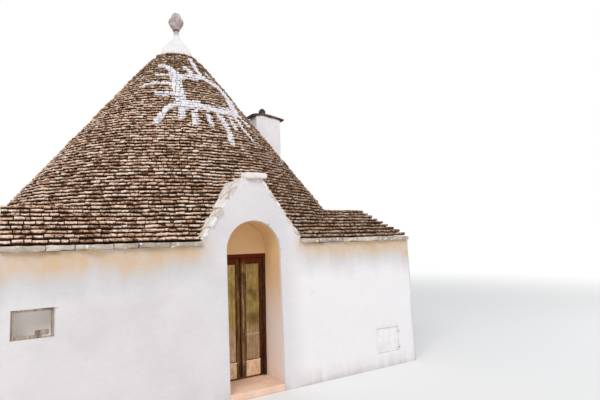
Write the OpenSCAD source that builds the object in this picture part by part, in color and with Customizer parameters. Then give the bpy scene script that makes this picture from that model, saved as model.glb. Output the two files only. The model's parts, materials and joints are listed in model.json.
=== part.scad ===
// Trullo house: a square whitewashed room of thick masonry under one dry-stone cone.
// Millimetres, +Z up. The origin is on the ground, on the axis of the cone and of the door.
// The front looks along -Y. The left and right ends are plain party faces.

/* [Walls] */
// Width between the two party faces
house_w = 6300; // [6100:50:6600]
// Depth over the front and rear walls at the ground
house_d = 7400; // [7200:50:7800]
// Height of the wall tops, where the eave slabs lie
wall_h = 2150; // [2120:10:2300]
// Thickness of the front and rear walls at the ground
front_t = 1100; // [1000:10:1200]
// Thickness of the party walls
party_t = 600; // [500:10:700]
// How far the front and rear faces lean back over a metre of height
batter = 39; // [0:1:60]
// Thickness of the floor inside
floor_t = 100; // [60:5:100]

/* [Doorway] */
// Width of the doorway
door_w = 880; // [800:10:1000]
// Height of the threshold's top above the ground
sill_h = 100; // [100:5:160]
// Height of the doorway above the threshold
door_h = 1900; // [1800:10:1960]
// Depth of the recess in front of the door
recess_d = 570; // [400:10:620]
// Length by which the lintel bears on the wall at each end
lintel_seat = 160; // [80:10:250]
// Thickness of the infill wall over the door
tympanum_t = 180; // [100:10:300]
// How far below the wall tops the arch springs
arch_drop = 90; // [60:5:120]

/* [Gable] */
// Half width of the gable at its shoulders
gable_half = 800; // [640:10:900]
// Height of the gable's top above the wall tops
gable_rise = 980; // [800:10:1100]
// Half width of the gable's top, under the cap slab
gable_top_half = 130; // [80:5:180]
// Width of the flat slab that caps the gable
gable_slab_w = 350; // [300:10:420]
// Depth of that slab
gable_slab_d = 210; // [180:10:300]
// Thickness of that slab
gable_slab_t = 85; // [60:5:120]
// How far that slab lies to the right of the gable's middle
gable_slab_x = 45; // [0:5:80]
// How far that slab stands out in front of the gable
gable_slab_out = 75; // [40:5:90]

/* [Eaves] */
// Thickness of the eave slabs
eave_t = 80; // [60:5:100]
// Depth of the eave slabs, most of it under the roof
eave_d = 420; // [350:10:500]
// How far the eave slabs stand out from the wall
eave_out = 60; // [30:5:80]

/* [Cone] */
// How far the cone's foot stands behind the foot of the front wall
cone_set = 100; // [60:5:200]
// Height of one course of roof stones
course_h = 60; // [58:1:64]
// Slope of each course's upper face, as a drop at its edge
drip = 8; // [0:1:15]
// Radius at which the courses end, round the plaster cap
crown_r = 430; // [415:5:450]
// How far the topmost course is rounded in from the cone's slope
crown_round = 70; // [0:5:80]
// Number of courses over which the crown is rounded
crown_courses = 6; // [3:1:8]
// How far the room's nearest wall face stands behind the foot of the dome
dome_set = 10; // [5:5:60]
// Height of the dome inside
dome_h = 3500; // [3400:10:3600]
// How much higher the cone's slopes would meet in a point
cone_over = 1030; // [950:10:1150]
// Curve of the dome, 1 is straight
dome_curve = 1.1; // [1:0.05:1.15]
// How far each ring of the dome lies on the ring below it
dome_bond = 60; // [50:5:80]
// How far each skirt course steps back at the corners
skirt_step = 145; // [115:5:165]

/* [Pinnacle] */
// Radius of the plaster cap on the cone
cap_r = 345; // [310:5:350]
// Height of the plaster cap up to its neck
cap_h = 570; // [500:10:590]
// Thickness of the plaster cap at its rim
cap_rim = 40; // [20:2:60]
// Radius of the neck
neck_r = 50; // [45:1:60]
// Length of the straight neck
neck_h = 50; // [30:5:80]
// Radius of the dark collar
collar_r = 66; // [60:1:80]
// Height of the collar
collar_h = 42; // [25:1:50]
// Radius of the bowl
bowl_r = 158; // [140:1:180]
// Height of the bowl
bowl_h = 235; // [200:5:250]
// Height of the bowl's upright rim
bowl_rim = 105; // [80:5:120]
// Radius of the ball
ball_r = 108; // [90:1:120]
// Height of the ball's centre above the bowl
ball_rise = 50; // [30:1:80]

/* [Chimney] */
// Width of the stack
stack_w = 670; // [600:10:700]
// Depth of the stack
stack_d = 360; // [340:10:420]
// Number of the course on which the stack is founded
stack_course = 16; // [13:1:17]
// How far the stack's outer corner lies within that course
stack_in = 60; // [50:5:120]
// Distance of the stack's front face behind the cone's axis
stack_y = 150; // [100:10:200]
// Height of the stack's ridge above the ground
stack_ridge = 5255; // [5000:5:5350]
// Distance of the ridge from the stack's middle, towards the cone
stack_ridge_in = 150; // [0:10:180]
// Thickness of the stack's sides
stack_wall = 90; // [80:5:110]
// Height of the smoke outlet in the stack's back
stack_vent = 110; // [80:5:150]
// Fall of the two cap slabs from the ridge, in a thousand
cap_fall = 140; // [80:10:250]
// Thickness of the cap slabs
stack_cap_t = 50; // [35:5:70]
// How far the cap slabs stand out at the stack's sides
stack_cap_out = 100; // [80:5:140]
// How far they stand out at its front and back
stack_cap_front = 40; // [20:5:90]
// Radius of the round stone on the ridge
stack_ball_r = 80; // [60:5:90]

/* [Door leaves] */
// Visible width of the frame's posts
post_w = 45; // [35:5:60]
// Depth of the door frame
frame_d = 60; // [55:1:70]
// Height of the frame's head
head_h = 60; // [50:5:90]
// Thickness of a leaf
leaf_t = 45; // [40:1:50]
// Gap between a leaf and what it clears
leaf_gap = 6; // [5:0.5:8]
// Bevel on the meeting edges, so that the leaves swing clear
leaf_bevel = 8; // [7:0.5:12]
// Width of the leaves' stiles
stile_w = 72; // [60:2:90]
// Height of the top rail
top_rail_h = 90; // [70:5:110]
// Height of the middle and bottom rails
rail_h = 45; // [30:5:60]
// Height of the lower panel
low_panel_h = 190; // [120:10:260]
// Depth by which the panels lie back
panel_in = 12; // [8:1:15]
// Radius of the hinge pins
pin_r = 7; // [6:0.5:8]
// Clearance round a hinge pin
pin_gap = 0.3; // [0.2:0.05:0.5]
// Outer radius of the strap hinges' eyes
eye_r = 13; // [12:0.5:14]
// Height of the straps
strap_h = 32; // [26:2:44]
// Thickness of the straps
strap_t = 4; // [3:0.5:5]
// Length of the straps on the leaves
strap_len = 250; // [150:10:300]
// Height of the lower and upper hinges above the threshold
hinge_z = [300, 1550];
// Height of the pintles' arms
pintle_h = 24; // [18:1:30]

/* [Wall fittings] */
// Width of the niche
niche_w = 430; // [300:10:440]
// Height of the niche
niche_h = 330; // [250:10:400]
// Depth of the niche
niche_d = 260; // [150:10:400]
// Distance of the niche's frame behind the foot of the wall
niche_set = 70; // [60:5:120]
// Thickness of the niche frame's boards
niche_board = 32; // [20:1:45]
// Height of the niche's underside above the ground
niche_z = 1180; // [1000:10:1300]
// Distance from the house's axis to the niche's near edge
niche_x = 2590; // [2560:5:2600]
// Width of the hatch
hatch_w = 520; // [400:10:540]
// Height of the hatch
hatch_h = 430; // [300:10:500]
// Depth of the cupboard behind the hatch
hatch_d = 180; // [120:10:250]
// Height of the hatch's underside above the ground
hatch_z = 230; // [200:10:300]
// Distance from the house's axis to the hatch's near edge
hatch_x = 2260; // [2150:10:2300]

/* [Hidden] */
$fn = 96;
round_fn = 360;
eps = 1;
hw = house_w / 2;
hd = house_d / 2;
head_z = sill_h + door_h;
door_y = -hd + recess_d;
room_y = -hd + front_t;
room_x = hw - party_t;
arch_r = door_w / 2;
spring_z = wall_h - arch_drop;

// Courses of the cone, of the dome inside it and of the room's corner vaults
cone_r = hd - cone_set;
cone_h = dome_h + cone_over;
cone_z = wall_h + eave_t;
top_course = floor(cone_h * (1 - crown_r / cone_r) / course_h);
cone_bands = 5;
band_courses = ceil(top_course / cone_bands);
cone_top = cone_z + top_course * course_h;
dome_r = min(room_x, -room_y) - dome_set;
dome_step = 4;
dome_rings = floor(dome_h / course_h / dome_step);
dome_mid = 0.6;
dome_lower_ring = 3;
dome_middle_ring = 6;
dome_upper_ring = 9;
key_courses = 3;
key_r = 420;
skirt_courses = 9;
skirt_thin = 60;
skirt_lead = 0.3;
eave_y = -face_y(wall_h) + eave_out;
vault_courses = 5;
vault_course_h = 130;
vault_in = 20;
vault_flare = 110;
vault_curve = 1.4;

function face_y(z) = -hd + batter * z / 1000;
function course_z(i) = cone_z + i * course_h;
function crown_in(i) = crown_round * pow(max(i - top_course + crown_courses, 0) / crown_courses, 2);
function course_r(i) = cone_r * (1 - (i + 0.5) * course_h / cone_h) - crown_in(i);
function dome_at(ring) = max(ring + dome_mid, 0) * dome_step * course_h / dome_h;
function dome_in(ring) = dome_r * (1 - pow(dome_at(ring), dome_curve));
function dome_back(i) = i < dome_step * dome_rings ? dome_in(floor(i / dome_step) - 1) + dome_bond
    : i < dome_step * dome_rings + key_courses ? key_r : 0;

// The gable runs back into the cone and meets it at its own top
gable_top = wall_h + gable_rise;
gable_back_y = -cone_r * (1 - (gable_top - cone_z) / cone_h) + course_h;

// Door leaves and their hinges
leaf_lift = 8;
eye_set = 3;
pintle_in = 3;
pin_end = 8;
leaf_z = sill_h + leaf_lift;
leaf_top = head_z - head_h - leaf_gap;
leaf_y = door_y + frame_d - leaf_t;
leaf_edge = door_w / 2 - post_w - leaf_gap;
hinge_x = leaf_edge + leaf_gap / 2;
hinge_y = door_y + frame_d + eye_r + eye_set;

// Hatch, whose parts stand in the plane of the leaning wall
hatch_tilt = atan(batter / 1000);
hatch_edge = 22;
hatch_rebate = 11;
hatch_inset = 4;
hatch_frame_d = 45;
hatch_door_t = 14;
hatch_door_in = 4;
hatch_door_back = 2;
hatch_door_y = hatch_inset + hatch_door_in;
hatch_gap = 5;
hatch_pin_r = 5;
hatch_eye_r = 9;
hatch_strap_t = 3;
hatch_strap_len = 70;
hatch_strap_h = 24;
hatch_arm_h = 12;
hatch_arm_in = 2;
hatch_arm_set = 1;
hatch_pin_end = 4;
hatch_pin_x = hatch_w - hatch_rebate - hatch_gap / 2;
hatch_pin_y = -6;
hatch_hinge_low = 70;
hatch_hinge_z = [hatch_hinge_low, hatch_h - hatch_hinge_low - hatch_strap_h];

// Pinnacle
neck_z = cone_top + cap_h;
collar_z = neck_z + neck_h;
bowl_z = collar_z + collar_h;
ball_z = bowl_z + bowl_h;
cap_steps = 12;
bowl_steps = 10;
bowl_curve = 0.85;

// Chimney
stack_base = course_z(stack_course);
stack_back = stack_y + stack_d;
stack_right = sqrt(pow(course_r(stack_course) - stack_in, 2) - pow(stack_back, 2));
stack_left = stack_right - stack_w;
stack_ridge_x = stack_right - stack_w / 2 - stack_ridge_in;
stack_ball_y = 0.12;

function cap_under(x) = stack_ridge - abs(x - stack_ridge_x) * cap_fall / 1000;

// Extrudes an outline drawn in Y and Z along X, from x0 to x1
module along_x(x0, x1) {
    translate([x0, 0, 0]) rotate([90, 0, 90]) linear_extrude(x1 - x0) children();
}

// Extrudes an outline drawn in X and Z along Y, from y0 to y1
module along_y(y0, y1) {
    translate([0, y1, 0]) rotate([90, 0, 0]) linear_extrude(y1 - y0) children();
}

// A box from one corner to the opposite one
module block(low, high) {
    translate(low) cube(high - low);
}

// The section of a front or rear wall, with its outer face leaning back
module wall_section(z0, z1, back_y) {
    polygon([[face_y(z0), z0], [back_y, z0], [back_y, z1], [face_y(z1), z1]]);
}

module mirror_if(flip) {
    mirror([flip ? 1 : 0, 0, 0]) children();
}

// Walls
module front_wall(flip) {
    mirror_if(flip) difference() {
        along_x(-hw, -door_w / 2) wall_section(0, wall_h, room_y);
        block([-gable_half, -hd - eps, spring_z], [eps, gable_back_y, wall_h + eps]);
        lintel_stone();
    }
}
module front_wall_left() color("white") difference() {
    front_wall(false);
    block([-niche_x - niche_w, -hd - eps, niche_z],
        [-niche_x, -hd + niche_d, niche_z + niche_h]);
}
module front_wall_right() color("white") difference() {
    front_wall(true);
    on_hatch() hatch_hole(0, -eps, hatch_d);
}
module rear_wall() color("white")
    mirror([0, 1, 0]) along_x(-hw, hw) wall_section(0, wall_h, room_y);
module party_wall() block([-hw, room_y, 0], [-hw + party_t, -room_y, wall_h]);
module left_party_wall() color("white") party_wall();
module right_party_wall() color("white") mirror([1, 0, 0]) party_wall();
module room_floor() color("tan")
    block([-room_x, room_y, 0], [room_x, -room_y, floor_t]);

// Doorway masonry
module lintel_stone() {
    block([-door_w / 2 - lintel_seat, door_y, head_z],
        [door_w / 2 + lintel_seat, room_y, wall_h]);
}
module door_lintel() color("tan") lintel_stone();
module threshold() color("bisque")
    along_x(-door_w / 2, door_w / 2) wall_section(0, sill_h, room_y);
module arch_outline(z0) {
    intersection() {
        translate([0, spring_z]) circle(arch_r);
        translate([-arch_r, spring_z]) square([door_w, arch_r]);
    }
    translate([-arch_r, z0]) square([door_w, spring_z - z0]);
}
module gable_outline() {
    polygon([[-gable_half, spring_z], [gable_half, spring_z], [gable_half, cone_z],
        [gable_top_half, gable_top], [-gable_top_half, gable_top],
        [-gable_half, cone_z]]);
}
// The gable runs back into the cone, whose bands are cut to it
module gable_mass() {
    intersection() {
        along_y(-hd, gable_back_y) gable_outline();
        along_x(-gable_half, gable_half)
            wall_section(spring_z, gable_top, gable_back_y);
    }
}
module gable() color("white") difference() {
    gable_mass();
    along_y(-hd - eps, door_y + tympanum_t) arch_outline(head_z);
    lintel_stone();
}
module tympanum() color("white") difference() {
    along_y(door_y, door_y + tympanum_t) arch_outline(head_z);
    lintel_stone();
}
module gable_slab() color("gainsboro")
    translate([gable_slab_x - gable_slab_w / 2, face_y(gable_top) - gable_slab_out, gable_top])
        cube([gable_slab_w, gable_slab_d, gable_slab_t]);

// Door
module door_frame() color("saddlebrown") {
    for (flip = [false, true]) mirror_if(flip) block([-door_w / 2, door_y, sill_h],
        [-door_w / 2 + post_w, door_y + frame_d, head_z - head_h]);
    block([-door_w / 2, door_y, head_z - head_h], [door_w / 2, door_y + frame_d, head_z]);
}
module panel_recess(z0, z1) {
    block([-leaf_edge + stile_w, leaf_y - eps, z0],
        [-leaf_gap / 2 - leaf_bevel - stile_w, leaf_y + panel_in, z1]);
}
module leaf() {
    low_z = leaf_z + rail_h;
    mid_z = low_z + low_panel_h + rail_h;
    difference() {
        translate([0, 0, leaf_z]) linear_extrude(leaf_top - leaf_z) polygon([
            [-leaf_edge, leaf_y], [-leaf_gap / 2 - leaf_bevel, leaf_y],
            [-leaf_gap / 2, leaf_y + leaf_t], [-leaf_edge, leaf_y + leaf_t]]);
        panel_recess(low_z, low_z + low_panel_h);
        panel_recess(mid_z, leaf_top - top_rail_h);
    }
}
module left_leaf() color("peru") leaf();
module right_leaf() color("peru") mirror([1, 0, 0]) leaf();
module strap(z) {
    difference() {
        union() {
            translate([-hinge_x, hinge_y, z]) cylinder(r = eye_r, h = strap_h);
            block([-leaf_edge, leaf_y + leaf_t, z],
                [-leaf_edge + strap_len, leaf_y + leaf_t + strap_t, z + strap_h]);
            block([-leaf_edge, leaf_y + leaf_t, z], [-hinge_x + eye_r, hinge_y, z + strap_h]);
        }
        translate([-hinge_x, hinge_y, z - eps])
            cylinder(r = pin_r + pin_gap, h = strap_h + 2 * eps);
    }
}
module left_straps() color("dimgray") for (z = hinge_z) strap(sill_h + z);
module right_straps() color("dimgray") mirror([1, 0, 0]) for (z = hinge_z) strap(sill_h + z);
// Each pintle is an arm on the frame with a pin that carries the strap's eye
module pintle(z) {
    arm_r = eye_r - pintle_in;
    arm_w = post_w - arm_r;
    translate([-hinge_x, hinge_y, z - pin_gap - pintle_h]) {
        cylinder(r = pin_r, h = pintle_h + pin_gap + strap_h + pin_end);
        cylinder(r = arm_r, h = pintle_h);
        translate([-arm_w, -eye_r - eye_set, 0])
            cube([arm_w, eye_r + eye_set + arm_r, pintle_h]);
    }
}
module pintles() color("dimgray") for (flip = [false, true], z = hinge_z)
    mirror_if(flip) pintle(sill_h + z);

// Niche and hatch
module niche_frame() color("rosybrown") difference() {
    block([-niche_x - niche_w, -hd + niche_set, niche_z],
        [-niche_x, -hd + niche_set + niche_board, niche_z + niche_h]);
    block([-niche_x - niche_w + niche_board, -hd, niche_z + niche_board],
        [-niche_x - niche_board, -hd + niche_d, niche_z + niche_h - niche_board]);
}
module on_hatch() {
    translate([hatch_x, face_y(hatch_z), hatch_z]) rotate([-hatch_tilt, 0, 0]) children();
}
module hatch_hole(margin, y0, y1) {
    translate([margin, y0, margin])
        cube([hatch_w - 2 * margin, y1 - y0, hatch_h - 2 * margin]);
}
module hatch_frame() color("whitesmoke") on_hatch() difference() {
    hatch_hole(0, hatch_inset, hatch_inset + hatch_frame_d);
    hatch_hole(hatch_edge, 0, hatch_d);
    hatch_hole(hatch_rebate, 0, hatch_door_y + hatch_door_t + hatch_door_back);
}
module hatch_door() color("whitesmoke") on_hatch()
    hatch_hole(hatch_rebate + hatch_gap, hatch_door_y, hatch_door_y + hatch_door_t);
module hatch_straps() color("gray") on_hatch() for (z = hatch_hinge_z) {
    edge = hatch_w - hatch_rebate - hatch_gap;
    plate_y = hatch_door_y - hatch_strap_t;
    difference() {
        union() {
            translate([hatch_pin_x, hatch_pin_y, z])
                cylinder(r = hatch_eye_r, h = hatch_strap_h);
            block([edge - hatch_strap_len, plate_y, z], [edge, hatch_door_y, z + hatch_strap_h]);
            block([hatch_pin_x - hatch_eye_r, hatch_pin_y, z],
                [edge, hatch_door_y, z + hatch_strap_h]);
        }
        translate([hatch_pin_x, hatch_pin_y, z - eps])
            cylinder(r = hatch_pin_r + pin_gap, h = hatch_strap_h + 2 * eps);
    }
}
module hatch_pins() color("gray") on_hatch() for (z = hatch_hinge_z) {
    arm_r = hatch_eye_r - hatch_arm_in;
    translate([hatch_pin_x, hatch_pin_y, z - pin_gap - hatch_arm_h]) {
        cylinder(r = hatch_pin_r, h = hatch_arm_h + pin_gap + hatch_strap_h + hatch_pin_end);
        cylinder(r = arm_r, h = hatch_arm_h);
        translate([0, -arm_r, 0]) cube([hatch_rebate + hatch_gap / 2 - hatch_arm_set,
            hatch_inset - hatch_pin_y + arm_r, hatch_arm_h]);
    }
}

// Room corners, stepped in to the round of the dome
module room_box(z0, z1) block([-room_x, room_y, z0], [room_x, -room_y, z1]);
module corner_vaults() color("tan") for (i = [0:vault_courses - 1]) {
    z0 = wall_h - (vault_courses - i) * vault_course_h;
    r = dome_r + vault_in + pow(vault_courses - 1 - i, vault_curve) * vault_flare;
    difference() {
        room_box(z0, z0 + vault_course_h);
        translate([0, 0, z0 - eps]) cylinder(r = max(r, room_x + vault_in, -room_y + vault_in),
            h = vault_course_h + 2 * eps, $fn = round_fn);
    }
}

// Eave slabs and the plate of stones between them on the wall tops
module eave_slabs() block([-hw, -eave_y, wall_h], [hw, -eave_y + eave_d, cone_z]);
module front_eaves() color("gainsboro") difference() {
    eave_slabs();
    block([-gable_half, -hd, wall_h - eps], [gable_half, gable_back_y, cone_z + eps]);
}
module rear_eaves() color("gainsboro") mirror([0, 1, 0]) eave_slabs();
module wall_head() color("tan") difference() {
    block([-hw, -eave_y + eave_d, wall_h], [hw, eave_y - eave_d, cone_z]);
    translate([0, 0, wall_h - eps]) cylinder(r = dome_r, h = eave_t + 2 * eps, $fn = round_fn);
    gable_mass();
}

// Corner skirts: stepped courses between the cone and the straight eaves, whose thin
// ends stop at a stone's thickness
function skirt_end(r, side) = -sqrt(pow(r, 2) - pow(side - skirt_thin, 2));
module skirt_quarter() {
    for (i = [0:skirt_courses - 1]) difference() {
        side_y = -face_y(wall_h) - (i + skirt_lead) * skirt_step;
        block([-hw, -side_y, course_z(i)],
            [skirt_end(course_r(i), side_y), skirt_end(course_r(i), hw), course_z(i + 1)]);
        translate([0, 0, course_z(i) - eps])
            cylinder(r = course_r(i), h = course_h + 2 * eps, $fn = round_fn);
    }
}
module skirt_pair() {
    skirt_quarter();
    mirror([1, 0, 0]) skirt_quarter();
}
module front_skirts() color("sienna") difference() {
    skirt_pair();
    gable_mass();
}
module rear_skirts() color("sienna") mirror([0, 1, 0]) skirt_pair();

// The cone's dry-stone courses: a stair of rings whose ledges shed water
module cone_rings(i0, i1) {
    outer = [for (i = [i0:i1 - 1]) each [
        [course_r(i), course_z(i)],
        [course_r(i), course_z(i + 1) - drip],
        [course_r(i + 1), course_z(i + 1)]]];
    inner = [for (i = [i1 - 1:-1:i0]) each [
        [dome_back(i), course_z(i + 1)], [dome_back(i), course_z(i)]]];
    rotate_extrude($fn = round_fn) polygon(concat(outer, inner));
}
module cone_band(b) color("sienna") difference() {
    intersection() {
        cone_rings((b - 1) * band_courses, min(b * band_courses, top_course));
        block([-hw, -hd, cone_z], [hw, hd, cone_top]);
    }
    if (b < 3) gable_mass();
    if (b > 1 && b < 4) stack_body();
}

// The corbelled dome inside, and the slab that closes it
module dome_part(ring0, ring1) {
    inner = [for (k = [ring0:ring1 - 1]) each [
        [dome_in(k), course_z(k * dome_step)], [dome_in(k), course_z((k + 1) * dome_step)]]];
    outer = [for (k = [ring1 - 1:-1:ring0]) each [
        [dome_back(k * dome_step), course_z((k + 1) * dome_step)],
        [dome_back(k * dome_step), course_z(k * dome_step)]]];
    rotate_extrude($fn = round_fn) polygon(concat(inner, outer));
}
module dome_foot() color("wheat") dome_part(0, dome_lower_ring);
module dome_lower() color("wheat") difference() {
    dome_part(dome_lower_ring, dome_middle_ring);
    stack_body();
}
module dome_middle() color("wheat") dome_part(dome_middle_ring, dome_upper_ring);
module dome_upper() color("wheat") dome_part(dome_upper_ring, dome_rings);
module dome_keystone() color("wheat") translate([0, 0, course_z(dome_rings * dome_step)])
    cylinder(r = key_r, h = key_courses * course_h);

// Pinnacle
function cap_at(t) = [neck_r + (cap_r - neck_r) * (1 + cos(180 * t)) / 2,
    cap_rim + (cap_h - cap_rim) * t];
function bowl_at(t) = [collar_r + (bowl_r - collar_r) * pow(t, bowl_curve),
    (bowl_h - bowl_rim) * t];
module pinnacle_cap() color("white") translate([0, 0, cone_top]) rotate_extrude()
    polygon(concat([[0, 0], [cap_r, 0]], [for (k = [0:cap_steps]) cap_at(k / cap_steps)],
        [[neck_r, cap_h + neck_h], [0, cap_h + neck_h]]));
module pinnacle_collar() color("dimgray") translate([0, 0, collar_z])
    cylinder(r = collar_r, h = collar_h);
module pinnacle_bowl() color("lightgray") translate([0, 0, bowl_z]) rotate_extrude()
    polygon(concat([[0, 0]], [for (k = [0:bowl_steps]) bowl_at(k / bowl_steps)],
        [[bowl_r, bowl_h], [0, bowl_h]]));
module pinnacle_ball() color("lightgray") difference() {
    translate([0, 0, ball_z + ball_rise]) sphere(ball_r);
    block([-bowl_r, -bowl_r, bowl_z], [bowl_r, bowl_r, ball_z]);
}

// Chimney: a square stack let into the cone, under two slabs that lean on each other
module stack_body() {
    along_y(stack_y, stack_back) polygon([[stack_left, stack_base], [stack_right, stack_base],
        [stack_right, cap_under(stack_right)], [stack_ridge_x, stack_ridge],
        [stack_left, cap_under(stack_left)]]);
}
module chimney_stack() color("white") difference() {
    stack_body();
    block([stack_left + stack_wall, stack_y + stack_wall, stack_base + stack_wall],
        [stack_right - stack_wall, stack_back - stack_wall, stack_ridge + eps]);
    block([stack_left + stack_wall, stack_y + stack_d / 2, cap_under(stack_right) - stack_vent],
        [stack_right - stack_wall, stack_back + eps, stack_ridge + eps]);
}
module cap_slab(end_x) {
    along_y(stack_y - stack_cap_front, stack_back + stack_cap_front) polygon([
        [stack_ridge_x, stack_ridge], [end_x, cap_under(end_x)],
        [end_x, cap_under(end_x) + stack_cap_t], [stack_ridge_x, stack_ridge + stack_cap_t]]);
}
module cap_pair() {
    cap_slab(stack_left - stack_cap_out);
    cap_slab(stack_right + stack_cap_out);
}
module chimney_cap() color("dimgray") cap_pair();
module chimney_ball() color("lightgray") difference() {
    translate([stack_ridge_x, stack_y + stack_ball_y * stack_d,
        stack_ridge + stack_cap_t + stack_ball_r / 2]) sphere(stack_ball_r);
    cap_pair();
}

front_wall_left();
front_wall_right();
rear_wall();
left_party_wall();
right_party_wall();
gable();
tympanum();
door_lintel();
room_floor();
threshold();
door_frame();
left_leaf();
right_leaf();
left_straps();
right_straps();
pintles();
niche_frame();
hatch_frame();
hatch_door();
hatch_straps();
hatch_pins();
corner_vaults();
wall_head();
front_eaves();
rear_eaves();
front_skirts();
rear_skirts();
cone_band(1);  // cone_band_1
cone_band(2);  // cone_band_2
cone_band(3);  // cone_band_3
cone_band(4);  // cone_band_4
cone_band(5);  // cone_band_5
dome_foot();
dome_lower();
dome_middle();
dome_upper();
dome_keystone();
gable_slab();
pinnacle_cap();
pinnacle_collar();
pinnacle_bowl();
pinnacle_ball();
chimney_stack();
chimney_cap();
chimney_ball();
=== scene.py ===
"""Dresses the trullo house: limewashed walls, dry-laid roof stones with their painted sign,
joinery, iron and carved stone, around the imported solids. Metres, +Z up, street front along -Y."""

import json
import math
import random

import bmesh
import bpy
from mathutils import Matrix, Vector, noise

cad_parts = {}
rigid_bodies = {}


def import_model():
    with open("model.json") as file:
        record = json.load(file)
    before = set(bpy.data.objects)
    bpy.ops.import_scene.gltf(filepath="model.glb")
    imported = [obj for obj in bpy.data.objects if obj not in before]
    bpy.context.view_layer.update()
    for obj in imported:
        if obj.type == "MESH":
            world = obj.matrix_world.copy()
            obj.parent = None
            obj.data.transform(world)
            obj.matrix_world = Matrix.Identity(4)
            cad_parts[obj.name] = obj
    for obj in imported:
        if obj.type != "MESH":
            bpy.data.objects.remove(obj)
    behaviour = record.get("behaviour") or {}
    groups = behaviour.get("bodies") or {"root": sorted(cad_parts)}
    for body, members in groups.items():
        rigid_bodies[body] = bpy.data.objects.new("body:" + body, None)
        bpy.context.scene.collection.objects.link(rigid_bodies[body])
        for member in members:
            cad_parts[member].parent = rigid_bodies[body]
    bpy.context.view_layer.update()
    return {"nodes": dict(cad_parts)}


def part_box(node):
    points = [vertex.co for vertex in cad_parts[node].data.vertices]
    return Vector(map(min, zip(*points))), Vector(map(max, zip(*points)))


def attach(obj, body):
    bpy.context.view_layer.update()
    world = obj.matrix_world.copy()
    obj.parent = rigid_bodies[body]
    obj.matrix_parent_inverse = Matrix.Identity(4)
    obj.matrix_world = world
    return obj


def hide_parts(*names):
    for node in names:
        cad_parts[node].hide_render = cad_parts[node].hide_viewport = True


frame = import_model()

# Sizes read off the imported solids
HALF_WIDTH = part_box("rear_wall")[1].x
HALF_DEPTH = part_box("rear_wall")[1].y
WALL_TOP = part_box("rear_wall")[1].z
EAVE_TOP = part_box("rear_eaves")[1].z
EAVE_FRONT = -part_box("front_eaves")[0].y
DOOR_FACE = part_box("door_frame")[0].y
DOOR_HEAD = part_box("door_frame")[1].z
SILL_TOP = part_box("threshold")[1].z
DOOR_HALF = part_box("door_frame")[1].x
GABLE_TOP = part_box("gable")[1].z
GABLE_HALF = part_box("gable")[1].x
CONE_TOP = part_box("cone_band_5")[1].z
CAP_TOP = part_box("pinnacle_cap")[1].z
ARCH_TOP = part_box("tympanum")[1].z
NICHE_LOW, NICHE_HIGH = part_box("niche_frame")
STACK_LOW, STACK_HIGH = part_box("chimney_stack")

# Sizes of the roof, as its solids are built
CONE_R = 3.6
CONE_RISE = 4.53
COURSE = 0.06
BANDS = 5
BAND_COURSES = 14
COURSES = round((CONE_TOP - EAVE_TOP) / COURSE)
CROWN_ROUND = 0.07
CROWN_COURSES = 6
BATTER = 0.039
GABLE_TOP_HALF = 0.13
SKIRT_COURSES = 9
SKIRT_STEP = 0.145
SKIRT_SET = 0.3
SKIRT_BACK = 0.06
SKIRT_THIN = 0.06
SKIRT_FLAT_ROWS = 9
SKIRT_CORE_LOWER = 0.022
PARTY_FACE = HALF_WIDTH - 0.001
APEX = EAVE_TOP + CONE_RISE
SLANT = math.atan2(CONE_R, CONE_RISE)

# How the roof is laid
STONE_DEPTH = 0.24
STONE_TALL = 0.057
STONE_LOW_WIDTH = 0.118
STONE_HIGH_WIDTH = 0.088
STONE_PROUD = 0.008
CORE_BACK = 0.065
CORE_IN = 0.006
OUTER_SKIN = 0.14
STONE_SHAPES = 24
STONE_GRID = (3, 1, 3)
SLAB_WIDTH = 0.40
# Past this, a vertex of a unit block lies on its outside
RIM = 0.49

# The painted sign: a width, then points as degrees round the cone from the front, and heights
SIGN = (
    (0.11, (-41, 5.77), (-31, 5.74), (-21, 5.58)),
    (0.11, (-38, 5.49), (-26, 5.50)),
    (0.10, (-49, 5.21), (-43, 5.27), (-23, 5.23)),
    (0.11, (-32, 4.99), (-20, 4.98)),
    (0.20, (-20, 5.55), (-17, 5.19), (-14, 4.80)),
    (0.125, (-15, 4.83), (-24, 4.61), (-28, 4.31)),
    (0.18, (-17, 5.43), (-1, 5.49), (15, 5.53)),
    (0.17, (15, 5.53), (22, 5.45), (35, 5.37)),
    (0.22, (35, 5.37), (34.5, 5.09), (28.5, 4.80)),
    (0.11, (-6, 5.72), (1, 5.56)),
    (0.11, (12, 6.06), (12, 5.88), (12, 5.60)),
    (0.11, (28, 5.68), (34, 5.52)),
    (0.25, (-13, 4.76), (-3, 4.74)),
    (0.20, (-3, 4.73), (9, 4.69), (25, 4.70)),
    (0.13, (-14, 4.68), (-15, 4.43)),
    (0.11, (-7, 4.58), (-8, 4.30)),
    (0.10, (1, 4.54), (1, 4.32)),
    (0.12, (9, 4.57), (10, 4.27), (8, 3.95)),
    (0.10, (17, 4.54), (16, 4.31)),
    (0.10, (23, 4.66), (23, 4.34), (24, 4.12)),
    (0.12, (28, 4.80), (33, 4.47)),
)

# Dark blots on the door's tall panels: place across, height, half width, half height, strength
PANEL_BLOTS = (
    (0.19, 1.42, 0.08, 0.07, 0.9),
    (0.255, 1.35, 0.08, 0.13, 1.0),
    (0.235, 0.99, 0.11, 0.10, 1.0),
    (-0.13, 1.40, 0.10, 0.12, 0.45),
)
SCRATCH_Z = 0.76
# Between these heights the old varnish begins that is left under the door's head
VARNISH_KEPT = (1.84, 1.90)


# Node trees, with what their nodes give written as arithmetic


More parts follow.
